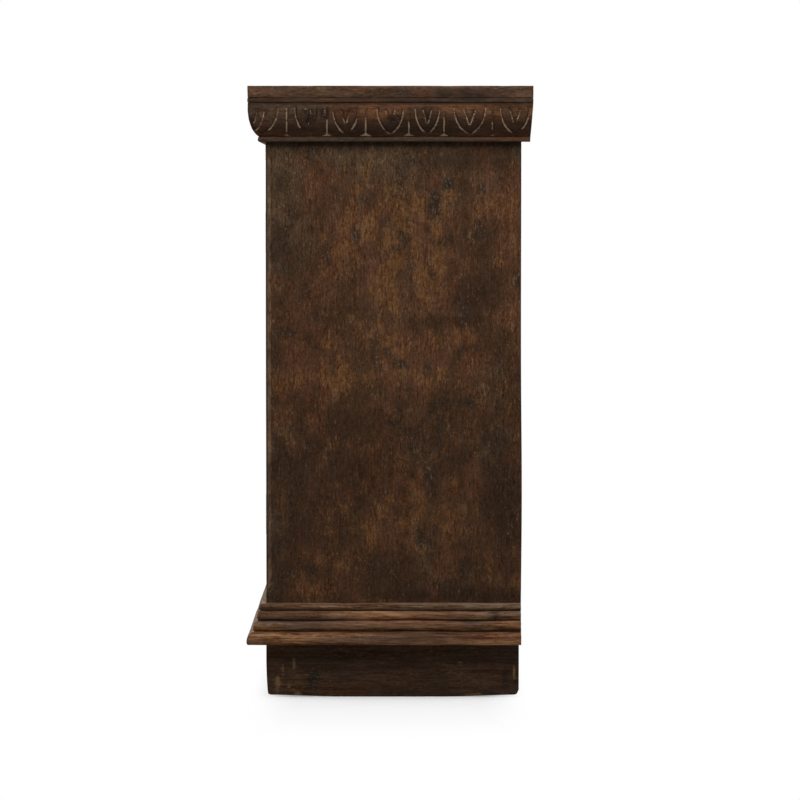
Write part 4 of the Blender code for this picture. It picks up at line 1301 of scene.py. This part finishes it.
# Dots of lime left among the blotches: place along the run and up, half sizes, strength
LIME_DOTS = (
    (0.0604, 0.0478, 0.0020, 0.0012, 0.6),
    (0.0649, 0.0262, 0.0011, 0.0016, 0.7),
    (0.0680, 0.0430, 0.0008, 0.0030, 0.9),
    (0.0890, 0.0440, 0.0008, 0.0030, 0.8),
)
# Runs that aren't in the picture: the leaf that folds round a corner, and the lines of the leaves between
CORNER_LEAF = (0.0280, (0.013, 0.048, 0.7), (0.013, 0.048, 0.7), (0.022, 0.046, 0.6))
CORNER_LEAF_PAST = 0.0100
LEAF_LINES = ((0.0125, 0.049), (0.0125, 0.049), (0.025, 0.047))
LEAF_SHARE = 0.335
DART_LINE = (0.014, 0.050)
DART_STRAY = 0.003
ROW_START, ROW_END = 0.0330, 0.0600


def carved_row(length, count, far_corner, seed):
    """Leaves and darts for a run that isn't in the picture, spaced by rule with small strays like a
    carver's.
    """
    leaves = [(-CORNER_LEAF_PAST, *CORNER_LEAF)]
    pitch = (length - ROW_START - (ROW_START if far_corner else ROW_END)) / (count - 1)
    darts = []
    for number in range(count):
        place = ROW_START + pitch * number + DART_STRAY * wander(number * 3.7, seed, 0.5)
        strength = 0.7 + 0.3 * wander(number * 1.9, seed, 4.5)
        darts.append((place, (*DART_LINE, strength), strength))
    edges = [dart[0] for dart in darts]
    if not far_corner:
        edges.append(edges[-1] + pitch)
    for number, (left, right) in enumerate(zip(edges, edges[1:])):
        lines = []
        for line, (low, high) in enumerate(LEAF_LINES, start=1):
            lines.append((low, high, 0.75 + 0.4 * wander(number * 2.3, seed, line * 5.1)))
        leaves.append(((left + right) / 2, LEAF_SHARE * (right - left), *lines))
    if far_corner:
        leaves.append((length + CORNER_LEAF_PAST, *CORNER_LEAF))
    return leaves, darts


print(len(END_LEAVES), "leaves and", len(END_DARTS), "darts on the photographed end")

# %% Carving
def line_cut(gap):
    """The rounded section of a carved line: 1 in its middle and 0 at its edges."""
    return max(0.0, 1 - (gap / LINE_HALF) ** 2)


def reach_share(up, reach):
    """How strongly a line shows at a height: its strength, tapering at both ends."""
    low, high, strength = reach
    if high <= low:
        return 0.0
    start, end = (smooth_share(gap / LINE_TAPER + 0.5) for gap in (up - low, high - up))
    return strength * start * end


def carving(distance, up, leaves, darts):
    """How deep a point is cut, in metres, how pale its cut is, and how dark it is from dirt in its hollow
    and painted shade beside its cuts.
    """
    depth, pale, dirt_and_cut_shade = 0.0, 0.0, 0.0
    for middle, half, left, right, vein in leaves:
        aside = distance - middle
        if abs(aside) > half + LINE_HALF + DARK_SIDE:
            continue
        rise = (up - LEAF_TIP) / (LEAF_TOP - LEAF_TIP)
        if 0 < rise < LEAF_END:
            outline = half * math.sin(math.pi / 2 * min(1.0, rise ** LEAF_CURVE))
            strength = reach_share(up, left if aside < 0 else right)
            gap = (abs(aside) - outline) * min(1.0, 0.5 + rise)
            cut = line_cut(gap)
            depth = max(depth, LINE_DEPTH * cut * (0.25 + 0.75 * strength))
            pale = max(pale, cut * strength)
            dirt_and_cut_shade = max(dirt_and_cut_shade, line_cut(gap + DARK_SIDE))
            if abs(aside) < outline:
                dirt_and_cut_shade = max(dirt_and_cut_shade, LEAF_DIRT)
        rise = (up - VEIN_TIP) / (VEIN_TOP - VEIN_TIP)
        if 0 < rise < 1:
            strength = reach_share(up, vein)
            outline = VEIN_SHARE * half * rise ** VEIN_CURVE
            gap = (abs(aside) - outline) * VEIN_SLANT
            cut = line_cut(gap)
            depth = max(depth, LINE_DEPTH * cut * (0.45 + 0.5 * strength))
            pale = max(pale, cut * strength)
            dirt_and_cut_shade = max(dirt_and_cut_shade, 0.8 * cut * (1 - strength), line_cut(gap + DARK_SIDE))
    for place, line, foot in darts:
        aside = abs(distance - place)
        if aside > FOOT_HALF * FOOT_MOST:
            continue
        strength = reach_share(up, line)
        cut = line_cut(aside) if up < LEAF_TOP else 0.0
        depth = max(depth, LINE_DEPTH * cut * (0.3 + 0.7 * strength))
        pale = max(pale, cut * strength)
        if DART_FOOT < up < LEAF_TOP:
            dirt_and_cut_shade = max(dirt_and_cut_shade, 0.8 * line_cut(distance - place - DARK_SIDE))
        rise = (up - DART_FOOT) / (FOOT_HEIGHT * foot)
        if 0 < rise < 1 and aside < FOOT_HALF * foot * (1 - rise) ** FOOT_CURVE:
            depth = max(depth, FOOT_DEPTH * (1 - rise))
            pale = max(pale, FOOT_PALE * (1 - 0.4 * rise))
    return depth, pale, dirt_and_cut_shade


print("carved lines are up to", round(LINE_DEPTH * 1000, 1), "mm deep")

# %% [markdown]
# With the carving known, the three runs of the cornice are drawn, laid and pressed. The photographed end
# gets the finest points. Dirt and painted shade lie in the quirk above the bead, and a painted shadow runs
# along the top of the lip, under the fillet.

# %% Cornice
CORNICE_PITCH = {"right": 0.00070, "front": 0.00110, "left": 0.00100}
CORNICE_WAVE = 0.0003
CARVER_STRAY = 0.0005
HAMMERED = 0.0003
# How many carved darts the two runs out of the picture have
DART_COUNTS = {"left": 6, "front": 15}
# Dirt and painted shade in the quirk, a painted shadow under the fillet, and rubbing: place and reach in
# height, from the quirk, the foot or the top
QUIRK_DROP, QUIRK_REACH = 0.0004, 0.0010
CREST, CREST_REACH = 0.0065, 0.002
LIP_SHADOW, LIP_BLEND = 0.0036, 0.0012
LIP_EDGE, LIP_EDGE_REACH = 0.0022, 0.0016
# Where each change starts and where it is complete, along the run or up from the foot
PALE_FROM, PALE_TO = 0.018, 0.043
GLOW_FROM, GLOW_TO = 0.12, 0.18
WASH_FROM, WASH_TO = 0.11, 0.06
HIGH_FROM, HIGH_TO = 0.022, 0.048
SHADE_FROM, SHADE_TO = 0.046, 0.018
# The shade comes in over this height above the bead
SHADE_FOOT = 0.011
top_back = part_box("top_board")[1].y
cornice_runs = runs_of(FACE + FIT_GAP, FRONT - FIT_GAP, top_back)
rows = {
    "right": (END_LEAVES, END_DARTS),
    "left": carved_row(cornice_runs["left"].length, DART_COUNTS["left"], False, 2.0),
    "front": carved_row(cornice_runs["front"].length, DART_COUNTS["front"], True, 6.0),
}
for side, run in cornice_runs.items():
    node = f"cornice_{side}"
    pitch = CORNICE_PITCH[side]
    shape, places = laid(node, cornice_section(pitch), run, pitch, CORNICE_SLANT, CORNICE_WAVE)
    layers = mark_layers(shape, "wear_and_highlight", "dirt_and_shade", "groove", "glow", "stain", "shade", "wash")
    depths = []
    for vert, (distance, up) in zip(shape.verts, places):
        spot = Vector((distance, up, seed_of(node)))
        above = up - cornice_low.z
        stray = CARVER_STRAY * noise.noise(spot * 120)
        depth, pale, dirt_and_cut_shade = carving(distance + stray, above + stray, *rows[side])
        # The quirk takes dirt and painted shade, and the top of the lip a painted shadow under the fillet
        quirk = 0.5 * fade(abs(up - bead_head + QUIRK_DROP), QUIRK_REACH)
        lip = 0.8 * smooth_share((LIP_SHADOW + up - cornice_high.z) / LIP_BLEND)
        crest = fade(abs(above - CREST), CREST_REACH)
        lip_edge = fade(abs(cornice_high.z - up - LIP_EDGE), LIP_EDGE_REACH)
        low_down = 1.25 - 0.5 * ramp(above, PALE_FROM, PALE_TO)
        high_up = ramp(above, HIGH_FROM, HIGH_TO)
        marks = {
            "groove": pale * low_down * (1.0 + 0.9 * noise.noise(spot * 70)),
            "dirt_and_shade": max(quirk, lip, dirt_and_cut_shade * (0.6 + 0.8 * noise.noise(spot * 60))),
            "wear_and_highlight": max(crest, lip_edge) * (0.35 + 0.5 * noise.noise(spot * 30)),
            "glow": 0.7 * high_up * ramp(distance, GLOW_FROM, GLOW_TO),
            "wash": 1.0,
        }
        if above > CORNICE_BEAD_HEIGHT:
            marks["wash"] = 0.9 * high_up * ramp(distance, WASH_FROM, WASH_TO)
            shade = 0.8 * ramp(above, SHADE_FROM, SHADE_TO)
            marks["shade"] = shade * (0.2 + 0.8 * smooth_share((above - CORNICE_BEAD_HEIGHT) / SHADE_FOOT))
            depth += HAMMERED * max(0.0, 0.4 + noise.noise(spot * 230))
        if side == "right":
            marks["stain"] = spot_strength(BLOTCHES, distance, above)
            marks["groove"] = max(marks["groove"], spot_strength(LIME_DOTS, distance, above))
        paint(vert, layers, marks)
        depths.append(depth)
    press(shape, depths)
    show(f"{node}_carved", shape, node, wood_for("cornice", grain_of(side)), crease=60)
    print(node, "has", len(depths), "points")

# %% [markdown]
# ## Fillet, plinth and top
# The fillet is a thin strip under the top and the plinth a plain one under the beads. Both are mitred
# like the mouldings. The plinth's lower corners have been kicked round, and its foot is worn away a
# little near them.

# %% Fillet
FILLET_TOP_ROUND = 0.0003
FILLET_FOOT_ROUND = 0.0008
FILLET_PITCH = 0.006
FILLET_SINK = 0.0002
FILLET_SHADE = 0.4
# Painted shade in the joint along the fillet's foot: its strength and height
FILLET_FOOT_SHADE, FILLET_FOOT_SHADE_HEIGHT = 0.4, 0.0006
fillet_low, fillet_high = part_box("top_fillet_right")
fillet_out = fillet_high.x - FACE - FIT_GAP


def fillet_corner(height, rounding, first, last):
    return arc((fillet_out - rounding, height), (rounding, rounding), first, last, 3)


fillet_section = [(0.0, fillet_low.z)]
fillet_section += fillet_corner(fillet_low.z + FILLET_FOOT_ROUND, FILLET_FOOT_ROUND, -90, 0)
fillet_section += fillet_corner(fillet_high.z - FILLET_TOP_ROUND, FILLET_TOP_ROUND, 0, 90)
fillet_section += [(0.0, fillet_high.z)]
for side, run in cornice_runs.items():
    node = f"top_fillet_{side}"
    shape, places = laid(node, fillet_section, run, FILLET_PITCH)
    layers = mark_layers(shape, "wear_and_highlight", "dirt_and_shade", "shade")
    depths = []
    for vert, (distance, up) in zip(shape.verts, places):
        rub = wander(distance * 40, up * 100, seed_of(node))
        dirt_and_shade = FILLET_FOOT_SHADE if up < fillet_low.z + FILLET_FOOT_SHADE_HEIGHT else 0.0
        paint(vert, layers, {"wear_and_highlight": 0.15 + 0.3 * rub, "dirt_and_shade": dirt_and_shade, "shade": FILLET_SHADE})
        depths.append(FILLET_SINK * (1 + rub))
    press(shape, depths)
    show(f"{node}_worn", shape, node, wood_for("top_wood", grain_of(side)))
print("fillet is made")

# %% Plinth
PLINTH_TOE = {"front": 0.0060, "right": 0.0018, "left": 0.0018, "back": 0.0050}
PLINTH_CORNER = 0.0075
PLINTH_PITCH, PLINTH_FLAT_PITCH = 0.0025, 0.01
PLINTH_RISE, PLINTH_RISES = 0.004, range(2, 16)
PLINTH_LEAN, LEAN_HEIGHT = 0.0022, 0.055
PLINTH_LIFT, LIFT_REACH, LIFT_HEIGHT = 0.0028, 0.12, 0.024
# How far wear with a painted highlight at the foot, and painted shade and shadow, reach: from the ends, up
# from the foot and down from the beads
END_WEAR, FOOT_WEAR_AND_HIGHLIGHT = 0.030, 0.005
END_SHADE, BEAD_SHADOW = 0.003, 0.012
# Marks on the photographed end: place along Y and Z, half sizes, strength
PLINTH_SPOTS = {
    "wear_and_highlight": (
        (-0.1588, 0.040, 0.0024, 0.018, 1.35),
        (-0.1424, 0.051, 0.0024, 0.012, 1.0),
        (-0.1660, 0.022, 0.0060, 0.014, 0.9),
        (-0.1500, 0.018, 0.0040, 0.010, 0.8),
        (-0.1370, 0.005, 0.0080, 0.004, 1.1),
        (0.1250, 0.004, 0.0200, 0.004, 1.1),
        (0.1050, 0.052, 0.0060, 0.002, 0.8),
        (0.1856, 0.036, 0.0024, 0.014, 1.6),
    ),
    "glow": (
        (-0.1550, 0.028, 0.024, 0.020, 1.2),
        (0.1420, 0.022, 0.040, 0.012, 0.3),
        (-0.0450, 0.054, 0.012, 0.006, 0.7),
    ),
    "stain": (
        (-0.1145, 0.026, 0.014, 0.016, 1.3),
        (-0.1550, 0.058, 0.008, 0.008, 0.9),
        (0.1720, 0.030, 0.006, 0.020, 0.8),
    ),
}
plinth_low, plinth_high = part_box("plinth_right")
back_low, back_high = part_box("plinth_back")
plinth_runs = runs_of(plinth_high.x, plinth_low.y, plinth_high.y)
back_corner = Vector((back_low.x, back_high.y, 0.0))
back_length = back_high.x - back_low.x
plinth_runs["back"] = Run(back_corner, Vector((1, 0, 0)), Vector((0, 1, 0)), back_length, (False, False))


def plinth_section(toe):
    """A plinth board's section, leaning in at the foot and kicked round there."""
    points = [(back_low.y - back_high.y, plinth_low.z)]
    points += arc((-toe, plinth_low.z + toe), (toe, toe), -90, 0, 5)
    points += [(0.0, plinth_low.z + PLINTH_RISE * step) for step in PLINTH_RISES]
    points += [(0.0, plinth_high.z), (back_low.y - back_high.y, plinth_high.z)]
    dense = close_points(points, PLINTH_FLAT_PITCH)
    return [(out - PLINTH_LEAN * fade(up, LEAN_HEIGHT) ** 1.5, up) for out, up in dense]


def corner_lift(from_end):
    """How far the foot of the plinth is worn up at a distance from its end."""
    corner = max(0.0, PLINTH_CORNER - max(0.0, from_end))
    rounding = PLINTH_CORNER - math.sqrt(max(0.0, PLINTH_CORNER ** 2 - corner ** 2))
    return rounding + PLINTH_LIFT * smooth_share(1 - from_end / LIFT_REACH)


for side, run in plinth_runs.items():
    node = f"plinth_{side}"
    shape, places = laid(node, plinth_section(PLINTH_TOE[side]), run, PLINTH_PITCH)
    layers = mark_layers(shape, "wear_and_highlight", "dirt_and_shade", "glow", "stain")
    for vert, (distance, up) in zip(shape.verts, places):
        from_end = min(distance, run.length - distance)
        vert.co.z += corner_lift(from_end) * fade(up, LIFT_HEIGHT)
        scuff = wander(distance * 60, up * 25, seed_of(node))
        marks = {"wear_and_highlight": 0.0}
        if side == "right":
            for mark, spots in PLINTH_SPOTS.items():
                marks[mark] = spot_strength(spots, vert.co.y, vert.co.z) * (0.9 + 0.7 * scuff)
        end_rub = 0.5 * fade(from_end, END_WEAR) * max(0.0, scuff)
        # The foot is worn pale with a painted highlight, the corner edges are darkened as painted shade, and
        # the beads cast a painted shadow
        marks["wear_and_highlight"] = max(marks["wear_and_highlight"], end_rub, 0.4 * fade(up, FOOT_WEAR_AND_HIGHLIGHT))
        marks["dirt_and_shade"] = max(0.1 * fade(base_foot - up, BEAD_SHADOW), 0.8 * fade(from_end, END_SHADE))
        paint(vert, layers, marks)
    show(f"{node}_worn", shape, node, wood_for("plinth_wood", grain_of(side)))
print("plinth is made")

# %% [markdown]
# The top is one wide board. On its ends the streaks run level, as they do along its front edge. The ends
# are greyest near the front, darkest past the middle and yellowed at the back.

# %% Top board
# Marks on the two ends: place along Y and Z, half sizes, strength
TOP_SPOTS = {
    "wash": ((-0.16, 0.898, 0.07, 0.03, 0.6),),
    "shade": ((0.09, 0.894, 0.08, 0.012, 0.8), (0.0, 0.889, 0.15, 0.006, 0.5)),
    "glow": ((0.195, 0.902, 0.014, 0.012, 0.8),),
}
TOP_ROUND, TOP_CELL = 0.0008, 0.012
low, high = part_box("top_board")
shape = squared(low, high, TOP_ROUND, TOP_CELL)
weather(shape, low, high, seed_of("top_board"))
for mark, spots in TOP_SPOTS.items():
    mark_layer = layer(shape, mark)
    for vert in shape.verts:
        if FACE < abs(vert.co.x):
            vert[mark_layer] = spot_strength(spots, vert.co.y, vert.co.z)
show("top_board_worn", shape, "top_board", wood_for("top_wood", "xy"))
print("top is made")

# %% [markdown]
# ## The doors
# Two framed doors close the front. Each frame has two stiles and two rails round a fielded panel: a flat
# margin, a slope and a raised field. Insetting the front face twice makes those steps.

# %% Doors
PANEL_MARGIN = 0.010
PANEL_BEVEL = 0.028
PANEL_RAISE = 0.007
PANEL_STEP = 0.02
PANEL_ROUND = 0.0012
# How far the rubbing of the field's edge and the darkening at its foot reach
FIELD_WEAR, FIELD_FOOT_DARK = 0.004, 0.006


def fielded_panel(node):
    """A door panel with a raised field on its front."""
    low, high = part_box(node)
    shape = block(low + Vector((0.0, PANEL_RAISE, 0.0)), high)
    shape.normal_update()
    front = [face for face in shape.faces if face.normal.y < -0.9]
    bmesh.ops.inset_region(shape, faces=front, thickness=PANEL_MARGIN)
    bmesh.ops.inset_region(shape, faces=front, thickness=PANEL_BEVEL, depth=PANEL_RAISE)
    round_edges(shape, list(front[0].edges), PANEL_ROUND)
    for axis in (0, 2):
        count = round((high[axis] - low[axis]) / PANEL_STEP)
        step = (high[axis] - low[axis]) / count
        slice_up(shape, axis, [low[axis] + step * cut for cut in range(1, count)])
    layers = mark_layers(shape, "wear_and_highlight", "dirt_and_shade")
    middle = (low.y + PANEL_RAISE + high.y) / 2
    for vert in shape.verts:
        from_edge = min(vert.co.x - low.x, high.x - vert.co.x, vert.co.z - low.z, high.z - vert.co.z)
        if vert.co.y < middle:
            wear_and_highlight = 0.7 * fade(abs(from_edge - PANEL_MARGIN - PANEL_BEVEL), FIELD_WEAR)
            dirt_and_shade = 0.7 * fade(abs(from_edge - PANEL_MARGIN), FIELD_FOOT_DARK)
            paint(vert, layers, {"wear_and_highlight": wear_and_highlight, "dirt_and_shade": dirt_and_shade})
    show(f"{node}_worn", shape, node, wood_for("dark_plank", "z"), crease=12)


for side in ("right", "left"):
    name = f"door_{side}"
    stiles = [f"{name}_meeting_stile", f"{name}_hinge_stile"]
    board(stiles[0], "z")
    hinge_upright(stiles[1], side)
    left, right = stiles if side == "right" else stiles[::-1]
    for rail in ("head_rail", "foot_rail"):
        low, high = between(f"{name}_{rail}", left, right)
        board(f"{name}_{rail}", "x", low, high)
    fielded_panel(f"{name}_panel")
print("doors are made")

# %% [markdown]
# ## Turned and flat ironwork
# Knobs, knuckles and screws are round, so each is half a section spun about its axis. The operator leaves
# a seam where the turn closes and spare points on the axis, and merging doubles closes both.

# %% Iron tools
TURN_STEPS = 40
WAYS = {
    "z": Vector((0, 0, 1)),
    "y": Vector((0, 1, 0)),
    "-y": Vector((0, -1, 0)),
    "x": Vector((1, 0, 0)),
    "-x": Vector((-1, 0, 0)),
}


def turned(section, centre, axis="z", ring=False, steps=TURN_STEPS):
    """A section of (radius, height) points spun round. A ring's section closes on itself."""
    shape = bmesh.new()
    line = [shape.verts.new((radius, 0.0, height)) for radius, height in section]
    pairs = list(zip(line, line[1:] + line[:1])) if ring else list(zip(line, line[1:]))
    for first, second in pairs:
        shape.edges.new((first, second))
    bmesh.ops.spin(
        shape,
        geom=[*shape.verts, *shape.edges],
        cent=(0.0, 0.0, 0.0),
        axis=(0.0, 0.0, 1.0),
        angle=math.tau,
        steps=steps,
        use_merge=True,
    )
    bmesh.ops.remove_doubles(shape, verts=shape.verts, dist=MERGE)
    turn = WAYS[axis].to_track_quat("Z", "Y").to_matrix()
    bmesh.ops.rotate(shape, verts=shape.verts, cent=(0.0, 0.0, 0.0), matrix=turn)
    bmesh.ops.translate(shape, verts=shape.verts, vec=centre)
    return shape


def add_shape(shape, extra):
    """Adds one shape to another."""
    carrier = bpy.data.meshes.new("carrier")
    extra.to_mesh(carrier)
    extra.free()
    shape.from_mesh(carrier)
    bpy.data.meshes.remove(carrier)


print("a turn has", TURN_STEPS, "steps")

# %% [markdown]
# A knob has a round head on a waisted neck over a flat rose. The right-hand one goes through the door and
# turns the tongue behind it.

# %% Knobs
KNOB_RADIUS = 0.014
KNOB_PROJECTION = 0.016
KNOB_NECK = 0.006
KNOB_ROSE = 0.010
KNOB_ROSE_DEPTH = 0.003
KNOB_ROSE_ROUND = 0.001
KNOB_STANDOFF = 0.0005
SPINDLE_RADIUS = 0.004
door_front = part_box("door_right_meeting_stile")[0].y


def knob_section(tail):
    """Half the section of a knob, from the middle of its crown to the end of its spindle."""
    rose_top = KNOB_ROSE_DEPTH + KNOB_STANDOFF
    middle = (KNOB_PROJECTION + rose_top + KNOB_NECK) / 2
    points = arc((0.0, middle), (KNOB_RADIUS, KNOB_PROJECTION - middle), 90, 0, 14)
    points += arc((KNOB_RADIUS, rose_top), (KNOB_NECK - KNOB_RADIUS, middle - rose_top), 90, 0, 10)[1:]
    soft = KNOB_ROSE_ROUND
    points += arc((KNOB_ROSE - soft, rose_top - soft), (soft, soft), 90, 0, 3)
    points += [(KNOB_ROSE, KNOB_STANDOFF), (SPINDLE_RADIUS, KNOB_STANDOFF)]
    return points + [(SPINDLE_RADIUS, -tail), (0.0, -tail)]


for node in ("latch_knob", "fixed_knob"):
    low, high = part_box(node)
    centre = Vector(((low.x + high.x) / 2, door_front, (low.z + high.z) / 2))
    shape = turned(knob_section(high.y - door_front), centre, "-y")
    show(f"{node}_turned", shape, node, iron, crease=50)
print("knobs stand out", KNOB_PROJECTION, "m")

# %% [markdown]
# A lift-off hinge is two leaves. The frame's leaf ends in the lower knuckle and carries the pin. The
# door's leaf ends in the upper knuckle, which is bored for the pin. Three flat screws hold each leaf.

# %% Hinges
PIN_RADIUS = 0.0015
PIN_BORE = 0.0018
PIN_ROOT = 0.020
PIN_HEAD = 0.052
PIN_TIP, PIN_TIP_RISE = 0.0005, 0.0006
LEAF = 0.0014
LEAF_PLAY = 0.0002
KNUCKLE_GAP = 0.0003
KNUCKLE_RIM = 0.0004
LEAF_ROUND, NECK_ROUND = 0.0002, 0.0001
NECK_DEPTH = 0.0045
SCREW_RADIUS = 0.0022
SCREW_PROUD = 0.00008
SCREW_DEPTH = 0.0006
SCREW_PLACES = (0.18, 0.5, 0.82)


def hinge_leaf(node, side, frame_leaf):
    """One leaf of a hinge, with its knuckle and screws."""
    low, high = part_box(node)
    sign = 1 if side == "right" else -1
    hand = sign if frame_leaf else -sign
    pin, _ = hinge_places(side)
    middle = low.z + HINGE_LENGTH / 2
    head = low.z + HINGE_LENGTH
    knuckle_low, knuckle_high = (low.z, middle - KNUCKLE_GAP) if frame_leaf else (middle, head)
    near = pin.x + hand * LEAF_PLAY
    edges = sorted((near, near + hand * LEAF))
    leaf_front = pin.y + HOLLOW_RADIUS
    leaf_low = Vector((edges[0], leaf_front, low.z))
    shape = rounded_block(leaf_low, Vector((edges[1], high.y, head)), LEAF_ROUND)
    neck_low = Vector((edges[0], pin.y, knuckle_low))
    neck_high = Vector((edges[1], pin.y + NECK_DEPTH, knuckle_high))
    add_shape(shape, rounded_block(neck_low, neck_high, NECK_ROUND))
    centre = Vector((pin.x, pin.y, 0.0))
    inner = 0.0 if frame_leaf else PIN_BORE
    section = [(inner, knuckle_low), (KNUCKLE_RADIUS - KNUCKLE_RIM, knuckle_low)]
    section += [(KNUCKLE_RADIUS, knuckle_low + KNUCKLE_RIM), (KNUCKLE_RADIUS, knuckle_high - KNUCKLE_RIM)]
    section += [(KNUCKLE_RADIUS - KNUCKLE_RIM, knuckle_high), (inner, knuckle_high)]
    add_shape(shape, turned(section, centre, ring=not frame_leaf))
    if frame_leaf:
        root, tip = low.z + PIN_ROOT, low.z + PIN_HEAD
        pin_line = [(0.0, root), (PIN_RADIUS, root), (PIN_RADIUS, tip - PIN_TIP_RISE)]
        pin_line += [(PIN_RADIUS - PIN_TIP, tip), (0.0, tip)]
        add_shape(shape, turned(pin_line, centre))
    screw = [(0.0, SCREW_PROUD), (SCREW_RADIUS * 0.9, SCREW_PROUD), (SCREW_RADIUS, 0.0)]
    screw += [(SCREW_RADIUS * 0.5, -SCREW_DEPTH), (0.0, -SCREW_DEPTH)]
    for share in SCREW_PLACES:
        spot = Vector((near, (leaf_front + high.y) / 2, low.z + HINGE_LENGTH * share))
        add_shape(shape, turned(screw, spot, "-x" if hand > 0 else "x"))
    show(f"{node}_forged", shape, node, iron, crease=35)


for side in ("right", "left"):
    for place in ("lower", "upper"):
        hinge_leaf(f"door_{side}_{place}_hinge_frame_leaf", side, True)
        hinge_leaf(f"door_{side}_{place}_hinge_door_leaf", side, False)
print("hinges are made")

# %% [markdown]
# The tongue, the bolt and its plate are simple enough as they are. They keep their solids, with a weld
# and a small bevel to catch the light.

# %% Latch tongue and bolt
WELD = 0.00001
BOLT_ROUND = 0.0003
for node in ("latch_tongue", "bolt_plate", "bolt_rod"):
    item = frame["nodes"][node]
    item.data.materials.clear()
    item.data.materials.append(iron)
    weld = item.modifiers.new("weld", "WELD")
    weld.merge_threshold = WELD
    rounding = item.modifiers.new("rounding", "BEVEL")
    rounding.width = BOLT_ROUND
    rounding.segments = 2
    rounding.limit_method = "ANGLE"
print("tongue and bolt are dressed")

# %% [markdown]
# ## Pegs and nails
# Turned pegs pin the joints of the doors and the front frame, and cut nails hold the back boards. Each
# group is one piece that rides on its own body.

# %% Pegs and nails
PEG_RADIUS = 0.0036
PEG_PROUD = 0.0004
PEG_DEPTH = 0.003
PEG_STEPS = 16
PEG_RIM = 0.0001
PEG_PLACES = (0.32, 0.68)
NAIL_RADIUS = 0.0026
NAIL_FOOT, NAIL_HEAD = 0.035, 0.030
NAIL_PLACES = (0.22, 0.78)


def pegs(name, node, spots, axis, radius, material):
    """A group of small round heads on one body."""
    shape = bmesh.new()
    section = [(0.0, PEG_PROUD), (radius * 0.8, PEG_PROUD * 0.8), (radius, -PEG_RIM)]
    section += [(radius, -PEG_DEPTH), (0.0, -PEG_DEPTH)]
    for spot in spots:
        add_shape(shape, turned(section, spot, axis, steps=PEG_STEPS))
    new_piece(name, shape, node, material, CREASE)


def joint_spots(upright, rail, y):
    """Two pegs, one above the other, on an upright where a rail's tenon enters it."""
    low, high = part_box(upright)
    rail_low, rail_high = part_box(rail)
    x = (low.x + high.x) / 2
    foot, head = max(low.z, rail_low.z), min(high.z, rail_high.z)
    return [Vector((x, y, foot + (head - foot) * share)) for share in PEG_PLACES]


for side in ("right", "left"):
    name = f"door_{side}"
    spots = []
    for stile in ("hinge_stile", "meeting_stile"):
        for rail in ("head_rail", "foot_rail"):
            spots += joint_spots(f"{name}_{stile}", f"{name}_{rail}", door_front)
    pegs(f"{name}_pegs", f"{name}_head_rail", spots, "-y", PEG_RADIUS, wood_for("dark_plank", "y"))

frame_spots = []
for side in ("right", "left"):
    for rail in ("frame_head_rail", "frame_foot_rail"):
        frame_spots += joint_spots(f"frame_stile_{side}", rail, FRONT)
pegs("frame_pegs", "frame_head_rail", frame_spots, "-y", PEG_RADIUS, wood_for("dark_plank", "y"))

nail_spots = []
for number in range(1, BACK_BOARDS + 1):
    low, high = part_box(f"back_board_{number}")
    for z in (low.z + NAIL_FOOT, high.z - NAIL_HEAD):
        for share in NAIL_PLACES:
            nail_spots.append(Vector((low.x + (high.x - low.x) * share, high.y, z)))
pegs("back_nails", "back_board_1", nail_spots, "y", NAIL_RADIUS, iron)
print(len(nail_spots), "nails in the back")

# %% [markdown]
# ## The view
# The picture is shown through the Standard view transform.

# %% View transform
bpy.context.scene.view_settings.view_transform = "Standard"
